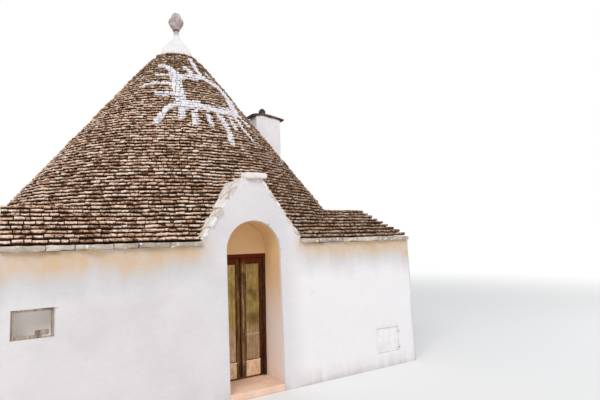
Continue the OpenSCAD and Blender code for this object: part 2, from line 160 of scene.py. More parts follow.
class Flow:
    """What a node gives out. Sums and products of flows make Math nodes in the same tree."""

    def __init__(self, socket):
        self.socket = socket
        self.tree = socket.id_data

    def __add__(self, other):
        return calc("ADD", self, other)

    def __sub__(self, other):
        return calc("SUBTRACT", self, other)

    def __rsub__(self, other):
        return calc("SUBTRACT", other, self)

    def __mul__(self, other):
        return calc("MULTIPLY", self, other)

    def __truediv__(self, other):
        return calc("DIVIDE", self, other)

    def __rtruediv__(self, other):
        return calc("DIVIDE", other, self)


def feed(socket, value):
    """Links a flow to an input, or sets the input's own value."""
    if isinstance(value, Flow):
        value.tree.links.new(value.socket, socket)
    elif socket.type == "RGBA":
        socket.default_value = (*value, 1.0)
    else:
        socket.default_value = value


def put(tree, kind, inputs=(), **settings):
    """Adds a node, sets its properties, then its inputs by name or number."""
    node = tree.nodes.new(kind)
    for name, value in settings.items():
        setattr(node, name, value)
    for key, value in dict(inputs).items():
        feed(node.inputs[key], value)
    return node


def flow(tree, kind, inputs=(), output=0, **settings):
    """Adds a node and returns what one of its outputs gives."""
    return Flow(put(tree, kind, inputs, **settings).outputs[output])


def tree_of(values):
    return next(value.tree for value in values if isinstance(value, Flow))


def calc(operation, *values, clamp=False):
    return flow(tree_of(values), "ShaderNodeMath", enumerate(values), operation=operation,
                use_clamp=clamp)


def vector_calc(operation, *values):
    output = "Value" if operation in ("LENGTH", "DOT_PRODUCT") else "Vector"
    return flow(tree_of(values), "ShaderNodeVectorMath", enumerate(values), output,
                operation=operation)


def vector_of(*values):
    return flow(tree_of(values), "ShaderNodeCombineXYZ", enumerate(values))


def axes_of(vector):
    return [Flow(axis) for axis in put(vector.tree, "ShaderNodeSeparateXYZ", {0: vector}).outputs]


def between(value, low, high):
    """0 below low and 1 above high, or the other way round where low is the greater."""
    return flow(value.tree, "ShaderNodeMapRange",
                {"Value": value, "From Min": low, "From Max": high}, "Result",
                interpolation_type="SMOOTHSTEP")


def mottle(place, scale, detail=3.0, rough=0.55):
    return flow(place.tree, "ShaderNodeTexNoise",
                {"Vector": place, "Scale": scale, "Detail": detail, "Roughness": rough}, "Fac")


def blend(under, over, share):
    """A colour laid over another by a share."""
    return flow(share.tree, "ShaderNodeMix", {0: share, 6: under, 7: over}, 2, data_type="RGBA",
                clamp_factor=True)


def shades(level, *stops):
    """A colour ramp from (position, colour) pairs."""
    node = put(level.tree, "ShaderNodeValToRGB", {"Fac": level})
    ramp = node.color_ramp
    while len(ramp.elements) < len(stops):
        ramp.elements.new(0.5)
    for element, (position, colour) in zip(ramp.elements, stops):
        element.position = position
        element.color = (*colour, 1.0)
    return Flow(node.outputs["Color"])


def new_group(name, kind, result, inputs):
    """A node group with named inputs of the given kinds: returns it and what each one gives."""
    group = bpy.data.node_groups.new(name, kind)
    for label, socket_kind in inputs.items():
        group.interface.new_socket(label, in_out="INPUT", socket_type="NodeSocket" + socket_kind)
    group.interface.new_socket("Result", in_out="OUTPUT", socket_type="NodeSocket" + result)
    given = group.nodes.new("NodeGroupInput").outputs
    return group, {label: Flow(given[label]) for label in inputs}


class Finish:
    """A material in the making: its tree, the place on the object and the colour so far."""

    def __init__(self, name, roughness, specular):
        self.material = bpy.data.materials.new(name)
        self.material.use_nodes = True
        self.tree = self.material.node_tree
        self.tree.nodes.clear()
        self.shader = put(self.tree, "ShaderNodeBsdfPrincipled",
                          {"Roughness": roughness, "Specular IOR Level": specular})
        self.surface = self.tree.nodes.new("ShaderNodeOutputMaterial").inputs["Surface"]
        feed(self.surface, Flow(self.shader.outputs["BSDF"]))
        self.place = flow(self.tree, "ShaderNodeTexCoord", output="Object")
        self.x, self.y, self.z = axes_of(self.place)

    def mottle(self, scale, detail=3.0, rough=0.55, stretch=None):
        """Noise over the object, drawn out along the axes where stretch gives their scales."""
        place = self.place
        if stretch:
            place = flow(self.tree, "ShaderNodeMapping", {"Vector": place, "Scale": stretch})
        return mottle(place, scale, detail, rough)

    def attribute(self, name):
        return flow(self.tree, "ShaderNodeAttribute", output="Fac", attribute_name=name)

    def shade(self, level, *stops):
        """Starts the colour as a ramp over a level."""
        self.colour = shades(level, *stops)

    def cover(self, colour, mask, share=1.0):
        """Lays a colour over the one so far where the mask is, at most by the share."""
        self.colour = blend(self.colour, colour, mask * share)

    def done(self, *bumps):
        """Joins up the colour, and bump from (height, distance) pairs, the broadest first."""
        feed(self.shader.inputs["Base Color"], self.colour)
        below = {}
        for height, distance in bumps:
            inputs = {"Height": height, "Distance": distance, "Strength": 1.0}
            below = {"Normal": flow(self.tree, "ShaderNodeBump", inputs | below)}
        feed(self.shader.inputs["Normal"], below["Normal"])
        return self.material


# Finishes


def lit_limewash():
    """A whiter copy of the limewash for the plaster cap and the chimney, its extra whiteness painted
    light: white, with faint grey runs.
    """
    coat = Finish("lit_limewash", 0.9, 0.2)
    # Painted light: whiter than the walls' limewash
    coat.shade(coat.mottle(1.6, 4.0, 0.6, (3.0, 3.0, 1.2)), (0.28, (0.82, 0.79, 0.80)),
               (0.5, (0.89, 0.865, 0.875)), (0.72, (0.92, 0.90, 0.91)))
    # Darker grey round the top of the neck, just under the collar
    coat.cover((0.36, 0.31, 0.33), between(coat.z, CAP_TOP - 0.13, CAP_TOP - 0.03), 0.75)
    return coat.done((coat.mottle(9.0, 4.0), 0.010), (coat.mottle(45.0, 5.0, 0.65), 0.0025))


def stain_and_shade_under_eaves(coat, runs, where):
    """A broad ochre band of dirt under the eaves, with soft runs, over a soft grey band of painted
    shade.
    """
    swell = coat.mottle(1.0, 2.0, 0.5, (1.3, 1.3, 0.5))
    edge = coat.z + (swell - 0.5) * 0.75 + (runs - 0.5) * 0.30
    beside_gable = calc("MAXIMUM", between(calc("ABSOLUTE", coat.x), 0.56, 0.96),
                        between(coat.y, -0.5, 0.5))
    outer_face = between(calc("ABSOLUTE", coat.y), HALF_DEPTH - 0.40, HALF_DEPTH - 0.25)
    where *= beside_gable * between(coat.z, 2.34, 2.22) * outer_face
    # Painted shade: a soft grey band of the eaves' shadow on the wall
    coat.cover((0.58, 0.565, 0.565), between(edge, 1.48, 1.86) * where, 0.55)
    cloud = between(coat.mottle(1.5, 5.0, 0.7, (3.0, 3.0, 2.0)), 0.70, 0.30)
    coat.cover((0.71, 0.480, 0.265), between(edge, 1.74, 2.02) * where * (cloud * 0.45 + 0.45))


def recess_tints_and_niche_light(coat):
    """Pink in the door recess, ochre towards its top and cream at its back, and the niche's inside
    whitened as painted light against its shade.
    """
    # How far behind the leaning face
    deep = coat.y - coat.z * BATTER + HALF_DEPTH
    recess = between(deep, 0.03, 0.07) * between(deep, 0.80, 0.65)
    recess *= between(calc("ABSOLUTE", coat.x), DOOR_HALF + 0.06, DOOR_HALF + 0.02)
    recess *= between(coat.z, ARCH_TOP + 0.06, ARCH_TOP + 0.03)
    coat.cover((0.92, 0.765, 0.71), recess, 0.9)
    coat.cover((0.80, 0.52, 0.24), recess * between(coat.z, 0.8, 1.9), 0.9)
    coat.cover((0.96, 0.88, 0.78), recess * between(deep, 0.525, 0.55), 0.6)
    # Painted light: the niche's inside is whitened against the shade in it
    niche = between(coat.x, NICHE_HIGH.x + 0.03, NICHE_HIGH.x) * between(deep, 0.02, 0.05)
    niche *= between(deep, 0.40, 0.35) * between(coat.x, NICHE_LOW.x - 0.05, NICHE_LOW.x - 0.03)
    coat.cover((0.97, 0.92, 0.88), niche)


def limewash():
    """Thick white render: soft shades, ochre runs and painted shade under the eaves, tints in the
    recess and painted light in the niche.
    """
    coat = Finish("limewash", 0.88, 0.2)
    coat.shade(coat.mottle(1.1, 4.0, 0.6), (0.3, (0.70, 0.67, 0.69)),
               (0.5, (0.765, 0.735, 0.755)), (0.72, (0.81, 0.78, 0.795)))
    # The wall right of the doorway is whiter
    off_party_faces = between(calc("ABSOLUTE", coat.x), HALF_WIDTH - 0.004, HALF_WIDTH - 0.03)
    whiter_right = between(coat.x, DOOR_HALF, 0.9) * between(coat.y, -2.8, -3.2) * off_party_faces
    coat.cover((0.95, 0.92, 0.935), whiter_right, 0.85)
    coat.cover((0.64, 0.60, 0.58), between(coat.mottle(6.5, 5.0, 0.7), 0.60, 0.78), 0.35)
    runs = coat.mottle(1.0, 4.0, 0.65, (5.0, 5.0, 0.7))
    stain_and_shade_under_eaves(coat, runs, off_party_faces)
    recess_tints_and_niche_light(coat)
    # Rain splash and scuffs at the foot
    coat.cover((0.56, 0.50, 0.45), between(coat.z, 0.30, 0.02) * between(runs, 0.30, 0.75), 0.5)
    return coat.done((coat.mottle(7.0, 4.0), 0.012), (coat.mottle(38.0, 5.0, 0.65), 0.003),
                     (coat.mottle(190.0, 2.0), 0.0008))


def stroke_group():
    """Distance from a place on the laid-out cone to a brush stroke's edge, below 0 inside it."""
    group, given = new_group("painted_stroke", "ShaderNodeTree", "Float",
                             {"Place": "Vector", "From": "Vector", "To": "Vector",
                              "Width": "Float"})
    line = vector_calc("SUBTRACT", given["To"], given["From"])
    reach = vector_calc("SUBTRACT", given["Place"], given["From"])
    share = calc("DIVIDE", vector_calc("DOT_PRODUCT", reach, line),
                 vector_calc("DOT_PRODUCT", line, line), clamp=True)
    nearest = flow(group, "ShaderNodeVectorMath", {0: line, "Scale": share}, operation="SCALE")
    apart = vector_calc("LENGTH", vector_calc("SUBTRACT", reach, nearest))
    feed(group.nodes.new("NodeGroupOutput").inputs[0], apart - given["Width"] * 0.5)
    return group


def laid_out(turn_deg, height):
    """A point of the cone's surface on the flat sheet that the cone unrolls to."""
    slant_length = (APEX - height) / math.cos(SLANT)
    angle = math.radians(turn_deg) * math.sin(SLANT)
    return (slant_length * math.sin(angle), -slant_length * math.cos(angle), 0.0)


def sign_distance(coat):
    """Distance to the nearest stroke of the sign, on the unrolled cone."""
    radius = vector_calc("LENGTH", vector_of(coat.x, coat.y))
    slant_length = radius * math.sin(SLANT) + (APEX - coat.z) * math.cos(SLANT)
    turn = calc("ARCTAN2", coat.x, coat.y * -1.0) * math.sin(SLANT)
    sheet = vector_of(slant_length * calc("SINE", turn),
                      slant_length * calc("COSINE", turn) * -1.0)
    group = stroke_group()
    nearest = None
    for width, *points in SIGN:
        for start, end in zip(points, points[1:]):
            here = flow(coat.tree, "ShaderNodeGroup",
                        {"Place": sheet, "From": laid_out(*start), "To": laid_out(*end),
                         "Width": width}, node_tree=group)
            nearest = here if nearest is None else calc("MINIMUM", nearest, here)
    return nearest


def weathered_roof_stone():
    """Brown stones with cream edges and near-black beds, and the white sign painted over them."""
    coat = Finish("weathered_roof_stone", 0.92, 0.15)
    marks = coat.mottle(17.0, 5.0, 0.74, (1.0, 1.0, 1.8))
    level = (marks - 0.5) * 2.5 + coat.attribute("stone_tone") * 0.50 + 0.305
    coat.shade(level, (0.04, (0.045, 0.018, 0.008)), (0.26, (0.23, 0.110, 0.055)),
               (0.50, (0.55, 0.325, 0.200)), (0.72, (0.84, 0.600, 0.450)),
               (0.95, (0.97, 0.845, 0.720)))
    # Upper edges and upward faces get a painted highlight, with some dust, and the beds below
    # painted shade, with some dirt
    rise = coat.attribute("stone_rise") + (coat.mottle(30.0, 5.0, 0.7) - 0.5) * 0.7
    rise += (coat.mottle(7.0, 3.0, 0.6) - 0.5) * 0.7
    up = axes_of(flow(coat.tree, "ShaderNodeNewGeometry", output="Normal"))[2]
    edge = calc("MAXIMUM", between(rise, 0.60, 0.92), between(up, 0.3, 0.9) * 0.5)
    # Painted highlight on upper edges and upward faces
    coat.cover((0.97, 0.78, 0.64), edge * between(level, 0.25, 0.75), 0.85)
    # Painted shade: the beds under each stone darkened nearly to black
    coat.cover((0.022, 0.009, 0.005), between(rise, 0.50, 0.32), 0.96)
    # The rain keeps the top courses dark, and the right side is darkened as painted shade
    coat.cover((0.11, 0.056, 0.024), between(coat.z, 4.7, 5.9) * between(marks, 0.70, 0.36), 0.95)
    # Painted shade on the right side of the cone
    coat.cover((0.13, 0.062, 0.026), between(coat.x, -0.4, 1.4) * between(marks, 0.72, 0.40), 0.72)
    # Lichen, then soot
    coat.cover((0.62, 0.54, 0.38), between(coat.mottle(34.0, 3.0, 0.6), 0.66, 0.74), 0.4)
    coat.cover((0.10, 0.06, 0.04), between(coat.mottle(4.0, 4.0, 0.7), 0.56, 0.75), 0.30)
    # The sign, with a ragged edge and a few worn specks, and the deepest beds keeping their painted
    # shade
    ragged = sign_distance(coat) + (coat.mottle(20.0) - 0.5) * 0.06
    kept = between(coat.mottle(40.0, 4.0, 0.7), 0.73, 0.66) * between(rise, -0.05, 0.08)
    coat.cover((0.93, 0.91, 0.94), between(ragged, 0.006, -0.006) * kept, 0.97)
    return coat.done((coat.mottle(26.0, 5.0, 0.7), 0.010), (coat.mottle(120.0, 4.0, 0.7), 0.0025))


def roof_core():
    """Dark earth in the gaps between the stones, and laid rubble on the party faces."""
    coat = Finish("roof_core", 0.95, 0.1)
    coat.shade(coat.mottle(14.0), (0.3, (0.05, 0.035, 0.025)), (0.7, (0.12, 0.09, 0.065)))
    # Brush strokes of the sign run into the gaps
    coat.cover((0.86, 0.84, 0.87), between(sign_distance(coat), 0.0, -0.02), 0.7)
    wobble = coat.z + coat.mottle(5.0, 2.0) * 0.12
    cells = {"Vector": vector_of(coat.y, wobble * 2.6), "Scale": 5.5, "Randomness": 0.85}
    cell = flow(coat.tree, "ShaderNodeTexVoronoi", cells, "Color")
    to_joint = flow(coat.tree, "ShaderNodeTexVoronoi", cells, "Distance",
                    feature="DISTANCE_TO_EDGE")
    rubble = shades(coat.mottle(22.0, 5.0, 0.7) * 0.5 + axes_of(cell)[0] * 0.55,
                    (0.25, (0.20, 0.115, 0.070)), (0.5, (0.46, 0.315, 0.225)),
                    (0.75, (0.70, 0.555, 0.440)))
    open_joint = between(to_joint, 0.075, 0.03)
    rubble = blend(rubble, (0.05, 0.032, 0.022), open_joint * 0.9)
    cut = between(calc("ABSOLUTE", coat.x), HALF_WIDTH - 0.016, HALF_WIDTH - 0.008)
    coat.cover(rubble, cut)
    return coat.done(((1.0 - open_joint) * cut, 0.015), (coat.mottle(30.0, 5.0), 0.012))


def quarried_stone(name, low, mid, high, whitewash=0.0, scale=7.0, painted_shade_foot=None):
    """Bare limestone in three shades, with pits and stains, a share of old whitewash, and painted
    shade at the foot where asked.
    """
    coat = Finish(name, 0.9, 0.25)
    level = coat.mottle(scale, 5.0, 0.62) + (coat.attribute("stone_tone") - 0.5) * 0.3
    coat.shade(level, (0.26, low), (0.5, mid), (0.74, high))
    if whitewash:
        patches = between(coat.mottle(9.0, 4.0, 0.6), 0.72 - whitewash * 0.5,
                          0.82 - whitewash * 0.7)
        coat.cover((0.88, 0.86, 0.86), patches)
    # Painted shade: the lower part darkened towards the low shade
    if painted_shade_foot:
        coat.cover(low, between(coat.z, *painted_shade_foot), 0.7)
    pits = between(coat.mottle(60.0, 2.0), 0.64, 0.72)
    coat.cover(tuple(0.6 * c for c in low), pits, 0.5)
    return coat.done((coat.mottle(12.0, 5.0, 0.6), 0.008), (coat.mottle(85.0, 4.0, 0.7), 0.002))


def coursed_blocks(coat, sheet, width, tall, joint, softness, first, second):
    """Colours a coat as courses of blocks in two shades: returns 1 at blocks, 0 at joints."""
    blocks = put(coat.tree, "ShaderNodeTexBrick",
                 {"Vector": sheet, "Scale": 1.0, "Mortar Size": joint, "Mortar Smooth": softness,
                  "Brick Width": width, "Row Height": tall, "Color1": first, "Color2": second,
                  "Mortar": (0.30, 0.26, 0.22)}).outputs
    coat.colour = Flow(blocks["Color"])
    return 1.0 - Flow(blocks["Fac"])


def dressed_dome_stone():
    """Coursed blocks inside, dusty and limewashed, with open joints."""
    coat = Finish("dressed_dome_stone", 0.9, 0.2)
    sheet = vector_of(calc("ARCTAN2", coat.y, coat.x) * 2.2, coat.z - EAVE_TOP)
    block = coursed_blocks(coat, sheet, 0.42, 2 * COURSE, 0.006, 0.3, (0.78, 0.73, 0.65),
                           (0.66, 0.59, 0.50))
    coat.cover((0.83, 0.80, 0.76), coat.mottle(9.0, 5.0, 0.65), 0.6)
    return coat.done((block, 0.006), (coat.mottle(45.0, 5.0), 0.003))


def floor_flags():
    """Worn stone flags of the room."""
    coat = Finish("floor_flags", 0.7, 0.3)
    flag = coursed_blocks(coat, coat.place, 0.62, 0.44, 0.008, 0.2, (0.70, 0.62, 0.54),
                          (0.60, 0.52, 0.45))
    coat.cover((0.76, 0.70, 0.64), coat.mottle(5.0, 5.0, 0.6), 0.55)
    return coat.done((flag, 0.005), (coat.mottle(40.0, 4.0), 0.002))


def weathered_wood(name, deep, body, pale, stain_share, streak=(22.0, 22.0, 1.6), roughness=0.8,
                   red_head=0.0):
    """Boards with long grain along Z, bleached ridges, dark stains, and varnish left at the head."""
    coat = Finish(name, roughness, 0.10)
    grain = coat.mottle(2.2, 6.0, 0.7, streak)
    fibre = coat.mottle(2.0, 3.0, 0.6, tuple(4.0 * s for s in streak))
    coat.shade(grain + (fibre - 0.5) * 0.5, (0.28, deep), (0.5, body), (0.76, pale))
    stain = between(coat.mottle(1.6, 4.0, 0.6, (3.0, 3.0, 1.7)), 0.74 - stain_share,
                    0.80 - stain_share)
    coat.cover(tuple(0.45 * c for c in deep), stain, 0.55)
    if red_head:
        coat.cover((0.125, 0.020, 0.004), between(coat.z, *VARNISH_KEPT), red_head)
    return coat.done((grain, 0.0035), (fibre, 0.0012))


def panel_wood():
    """The tall panels: olive above, paler and pinker below, with two dark blots and a scratch."""
    coat = Finish("panel_wood", 0.85, 0.12)
    grain = coat.mottle(2.2, 6.0, 0.7, (20.0, 20.0, 1.3))
    fibre = coat.mottle(2.0, 3.0, 0.6, (80.0, 80.0, 5.0))
    level = grain + (fibre - 0.5) * 0.35 + (coat.mottle(9.0, 5.0, 0.65) - 0.5) * 0.75
    coat.shade(level, (0.28, (0.26, 0.172, 0.047)), (0.5, (0.47, 0.325, 0.10)),
               (0.75, (0.64, 0.50, 0.21)))
    tan = shades(level, (0.28, (0.38, 0.235, 0.135)), (0.5, (0.62, 0.42, 0.27)),
                 (0.75, (0.80, 0.61, 0.45)))
    cloud = coat.mottle(5.0, 2.0) - 0.5
    coat.cover(tan, between(coat.z + cloud * 0.9, 1.10, 0.55))
    for blot_x, blot_z, wide, tall, share in PANEL_BLOTS:
        aside = (coat.x - blot_x) / wide
        lift = (coat.z - blot_z) / tall
        blot = calc("SQRT", aside * aside + lift * lift) + cloud * 2.4
        coat.cover((0.075, 0.048, 0.016), between(blot, 1.35, 0.15), share)
    # The right leaf is the browner one and has a pale scratch across it
    right_leaf = between(coat.x, -0.01, 0.01)
    coat.cover((0.21, 0.13, 0.040), right_leaf, 0.46)
    scratch = between(calc("ABSOLUTE", coat.z - SCRATCH_Z), 0.006, 0.003)
    coat.cover((0.90, 0.76, 0.64), scratch * right_leaf, 0.55)
    return coat.done((grain, 0.003), (fibre, 0.001))


def forged_iron():
    """Old iron, brown with rust."""
    coat = Finish("forged_iron", 0.6, 0.4)
    coat.shader.inputs["Metallic"].default_value = 0.35
    rust = coat.mottle(55.0, 5.0, 0.7)
    coat.shade(rust, (0.3, (0.05, 0.04, 0.035)), (0.52, (0.12, 0.085, 0.065)),
               (0.75, (0.30, 0.15, 0.075)))
    return coat.done((rust, 0.0012))


def chalky_paint():
    """White paint on the hatch, yellowed and chipped at its edges."""
    coat = Finish("chalky_paint", 0.6, 0.35)
    coat.shade(coat.mottle(8.0, 4.0, 0.6), (0.35, (0.86, 0.83, 0.84)), (0.65, (0.95, 0.925, 0.935)))
    coat.cover((0.42, 0.30, 0.22), between(coat.mottle(70.0, 3.0, 0.6), 0.70, 0.73), 0.7)
    return coat.done((coat.mottle(90.0, 3.0), 0.0006))


LIMEWASH = limewash()
LIT_LIMEWASH = lit_limewash()
ROOF_STONE = weathered_roof_stone()
ROOF_CORE = roof_core()
EAVE_STONE = quarried_stone("eave_stone", (0.36, 0.29, 0.23), (0.56, 0.47, 0.39),
                            (0.74, 0.67, 0.60), whitewash=0.25)
COPING_STONE = quarried_stone("coping_stone", (0.55, 0.47, 0.42), (0.78, 0.70, 0.65),
                              (0.90, 0.85, 0.82), whitewash=0.55)
SLAB_STONE = quarried_stone("slab_stone", (0.84, 0.76, 0.71), (0.95, 0.90, 0.86),
                            (0.97, 0.95, 0.92), scale=4.0)
CAP_STONE = quarried_stone("cap_stone", (0.055, 0.032, 0.022), (0.19, 0.120, 0.085),
                           (0.42, 0.310, 0.240))
CARVED_STONE = quarried_stone("carved_stone", (0.38, 0.300, 0.275), (0.64, 0.540, 0.505),
                              (0.82, 0.745, 0.715), scale=9.0)
BALL_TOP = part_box("pinnacle_ball")[1].z
# The ball's lower part gets painted shade
BALL_STONE = quarried_stone("ball_stone", (0.44, 0.370, 0.360), (0.80, 0.740, 0.760),
                            (0.90, 0.860, 0.880), scale=9.0,
                            painted_shade_foot=(BALL_TOP - 0.09, BALL_TOP - 0.19))
COLLAR_STONE = quarried_stone("collar_stone", (0.10, 0.085, 0.080), (0.21, 0.185, 0.175),
                              (0.36, 0.330, 0.320), scale=14.0)
SILL_STONE = quarried_stone("sill_stone", (0.88, 0.60, 0.46), (0.98, 0.725, 0.55),
                            (0.98, 0.86, 0.76), scale=5.0)
DOME_STONE = dressed_dome_stone()
FLOOR_FLAGS = floor_flags()
FRAME_WOOD = weathered_wood("frame_wood", (0.018, 0.006, 0.003), (0.065, 0.019, 0.007),
                            (0.23, 0.085, 0.030), 0.16, roughness=0.75, red_head=0.8)
STILE_WOOD = weathered_wood("stile_wood", (0.045, 0.017, 0.005), (0.155, 0.070, 0.021),
                            (0.45, 0.280, 0.115), 0.18, roughness=0.8, red_head=0.8)
PANEL_WOOD = panel_wood()
LOW_PANEL_WOOD = weathered_wood("low_panel_wood", (0.50, 0.30, 0.17), (0.90, 0.64, 0.42),
                                (0.97, 0.84, 0.66), 0.10, streak=(9.0, 9.0, 4.0))
# Paler wood of the cover strip: a painted highlight
STRIP_HIGHLIGHT_WOOD = weathered_wood("strip_highlight_wood", (0.12, 0.060, 0.032), (0.34, 0.205, 0.125),
                            (0.72, 0.55, 0.43), 0.24, red_head=0.8)
LEDGE_WOOD = weathered_wood("ledge_wood", (0.72, 0.50, 0.34), (0.96, 0.76, 0.57),
                            (0.97, 0.88, 0.76), 0.02)
NICHE_WOOD = weathered_wood("niche_wood", (0.20, 0.15, 0.115), (0.42, 0.34, 0.27),
                            (0.62, 0.54, 0.46), 0.16)
IRON = forged_iron()
CHALKY_PAINT = chalky_paint()


# Making and finishing pieces


def linked(name, data):
    """A new object in the scene."""
    obj = bpy.data.objects.new(name, data)
    bpy.context.scene.collection.objects.link(obj)
    return obj


def finish_piece(name, bm, finishes, slot, *nodes, body="house", smooth_deg=None):
    """Puts a shape in place as a piece that rides on its body and stands for its solids."""
    mesh = mesh_of(bm)
    for finish in finishes if isinstance(finishes, tuple) else (finishes,):
        mesh.materials.append(finish)
    mesh.name = name
    obj = linked(name, mesh)
    if smooth_deg is not None:
        mesh.set_sharp_from_angle(angle=math.radians(smooth_deg))
        for polygon in mesh.polygons:
            polygon.use_smooth = True
    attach(obj, body)
    if nodes:
        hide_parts(*nodes)


def mesh_of(bm):
    mesh = bpy.data.meshes.new("part")
    bm.to_mesh(mesh)
    bm.free()
    return mesh


def bmesh_of(mesh):
    bm = bmesh.new()
    bm.from_mesh(mesh)
    return bm


def solid_of(node):
    """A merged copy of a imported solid, with its flat faces whole again."""
    bm = bmesh_of(frame["nodes"][node].data)
    bmesh.ops.remove_doubles(bm, verts=bm.verts, dist=1e-5)
    bmesh.ops.dissolve_limit(bm, angle_limit=math.radians(0.5), verts=bm.verts, edges=bm.edges)
    return bm


def modified(mesh, *steps):
    """Runs modifiers, each (kind, settings or inputs), over a mesh: returns the new mesh."""
    obj = linked("working", mesh)
    for kind, settings in steps:
        modifier = obj.modifiers.new(kind.lower(), kind)
        for name, value in settings.items():
            if hasattr(modifier, name):
                setattr(modifier, name, value)
            else:
                modifier[name] = value
    bpy.context.view_layer.update()
    shown = obj.evaluated_get(bpy.context.evaluated_depsgraph_get())
    result = bpy.data.meshes.new_from_object(shown)
    bpy.data.objects.remove(obj)
    return result


def eased(bm, width, segments=2, angle_deg=30):
    """Rounds the arrises of a solid."""
    settings = {"width": width, "segments": segments, "limit_method": "ANGLE",
                "angle_limit": math.radians(angle_deg)}
    return bmesh_of(modified(mesh_of(bm), ("BEVEL", settings)))


def split(bm, axis, at):
    """Cuts all faces along a plane across an axis, and keeps both sides."""
    normal = Vector((0, 0, 0))
    normal[axis] = 1
    bmesh.ops.bisect_plane(bm, geom=bm.verts[:] + bm.edges[:] + bm.faces[:], dist=1e-5,
                           plane_co=normal * at, plane_no=normal)


def gridded(bm, spacing, low, high):
    """Cuts a mesh along regular planes, so that it can be made uneven."""
    for axis in range(3):
        reach = high[axis] - low[axis]
        parts = int(reach / spacing) + 1
        for k in range(1, parts):
            split(bm, axis, low[axis] + reach * k / parts)


def uneven(bm, depth, wavelength, seed, hold=None):
    """Moves each vertex along its normal by smooth noise, not at all where hold(point) is 1."""
    bm.normal_update()
    shift = Vector((seed * 7.3, seed * 3.1, seed * 5.7))
    moves = [(v, v.normal * depth * noise.noise(v.co / wavelength + shift)) for v in bm.verts]
    for vert, move in moves:
        vert.co += move * (1.0 - hold(vert.co)) if hold else move


def fading(value, full, none):
    """1 up to one value and 0 from the other on, with a smooth change between."""
    share = max(0.0, min(1.0, (value - none) / (full - none)))
    return share * share * (3.0 - 2.0 * share)


def joined(*parts):
    """One mesh from (mesh, material number) pairs, keeping each stone's shade."""
    bm = bmesh.new()
    for mesh, number in parts:
        start = len(bm.faces)
        bm.from_mesh(mesh)
        bm.faces.ensure_lookup_table()
        for face in bm.faces[start:]:
            face.material_index = number
    return bm


def board(low, high, ease, warp, seed, cuts):
    """A sawn board from corner to corner with eased edges, its long faces slightly warped."""
    bm = bmesh.new()
    bmesh.ops.create_cube(bm, size=1.0)
    low, high = Vector(low), Vector(high)
    size = high - low
    for v in bm.verts:
        v.co = Vector((low[a] + (v.co[a] + 0.5) * size[a] for a in range(3)))
    bmesh.ops.bevel(bm, geom=bm.edges[:], offset=ease, segments=2, profile=0.6, affect="EDGES")
    gridded(bm, max(size) / (cuts + 1), low, high)
    uneven(bm, warp, 0.25, seed)
    return mesh_of(bm)


# Roof stones


def rough_stones(label, depth, tall, grid, ragged, rounding, seed):
    """Rough slabs of unit width with their face at y = 0, as shapes for the stone trees."""
    draw = random.Random(seed)
    collection = bpy.data.collections.new(label)
    SHAPE_COLLECTIONS.append(collection)
    for shape in range(STONE_SHAPES):
        bm = bmesh.new()
        bmesh.ops.create_cube(bm, size=1.0)
        for axis, parts in enumerate(grid):
            for k in range(1, parts):
                split(bm, axis, k / parts - 0.5)
        rise = bm.verts.layers.float.new("stone_rise")
        slope = draw.uniform(-0.10, 0.10)
        crown = draw.uniform(-0.004, 0.01)
        for v in bm.verts:
            x, y, z = v.co
            v[rise] = z + 0.5
            on_face = y > RIM
            y = (y - 0.5) * depth
            z = (z + 0.5) * tall
            if on_face:
                y += draw.uniform(-ragged, ragged * 0.6)
                y += crown * (1 - 4 * x * x)
                if abs(x) > RIM:
                    y -= draw.uniform(0.3, 1.2) * rounding
                    x *= draw.uniform(0.95, 1.0)
                if v.co.z > RIM:
                    y -= draw.uniform(0.4, 1.2) * rounding
                    z -= draw.uniform(0.0, 0.14) * tall
                if v.co.z < -RIM:
                    y -= draw.uniform(0.4, 1.2) * rounding
                    z += draw.uniform(0.0, 0.12) * tall
            elif v.co.z > RIM:
                z += draw.uniform(-0.05, 0.02) * tall
            z += slope * x * 0.1 * tall
            x += draw.uniform(-0.02, 0.02) if abs(x) < 0.45 else 0.0
            v.co = (x, y, z)
        collection.objects.link(bpy.data.objects.new(f"{label}_{shape:02d}", mesh_of(bm)))
    return collection


def ring_of_ends(tree, given, move):
    """The stones' ends round a ring: the line, where they go and which way stones face."""
    here = flow(tree, "GeometryNodeInputPosition")
    line = flow(tree, "GeometryNodeMeshCircle",
                {"Vertices": given["Stones"], "Radius": given["Length"]})
    angle = move * (math.tau / given["Stones"]) + given["Seed"] * 0.37
    spot = flow(tree, "ShaderNodeVectorRotate", {"Vector": here, "Angle": angle},
                rotation_type="Z_AXIS")
    return line, spot, vector_calc("MULTIPLY", here, (1, 1, 0))


def row_of_ends(tree, given, move):
    """The same along X from 0, facing -Y, with both ends of the row kept in place."""
    pitch = given["Length"] / given["Stones"]
    line = flow(tree, "GeometryNodeMeshLine",
                {"Count": given["Stones"] + 1.0, "Offset": vector_of(pitch)})
    index = flow(tree, "GeometryNodeInputIndex")
    inner = calc("GREATER_THAN", index, 0.5) * calc("LESS_THAN", index, given["Stones"] - 0.5)
    spot = vector_calc("ADD", flow(tree, "GeometryNodeInputPosition"),
                       vector_of(move * pitch * inner))
    return line, spot, (0, -1, 0)


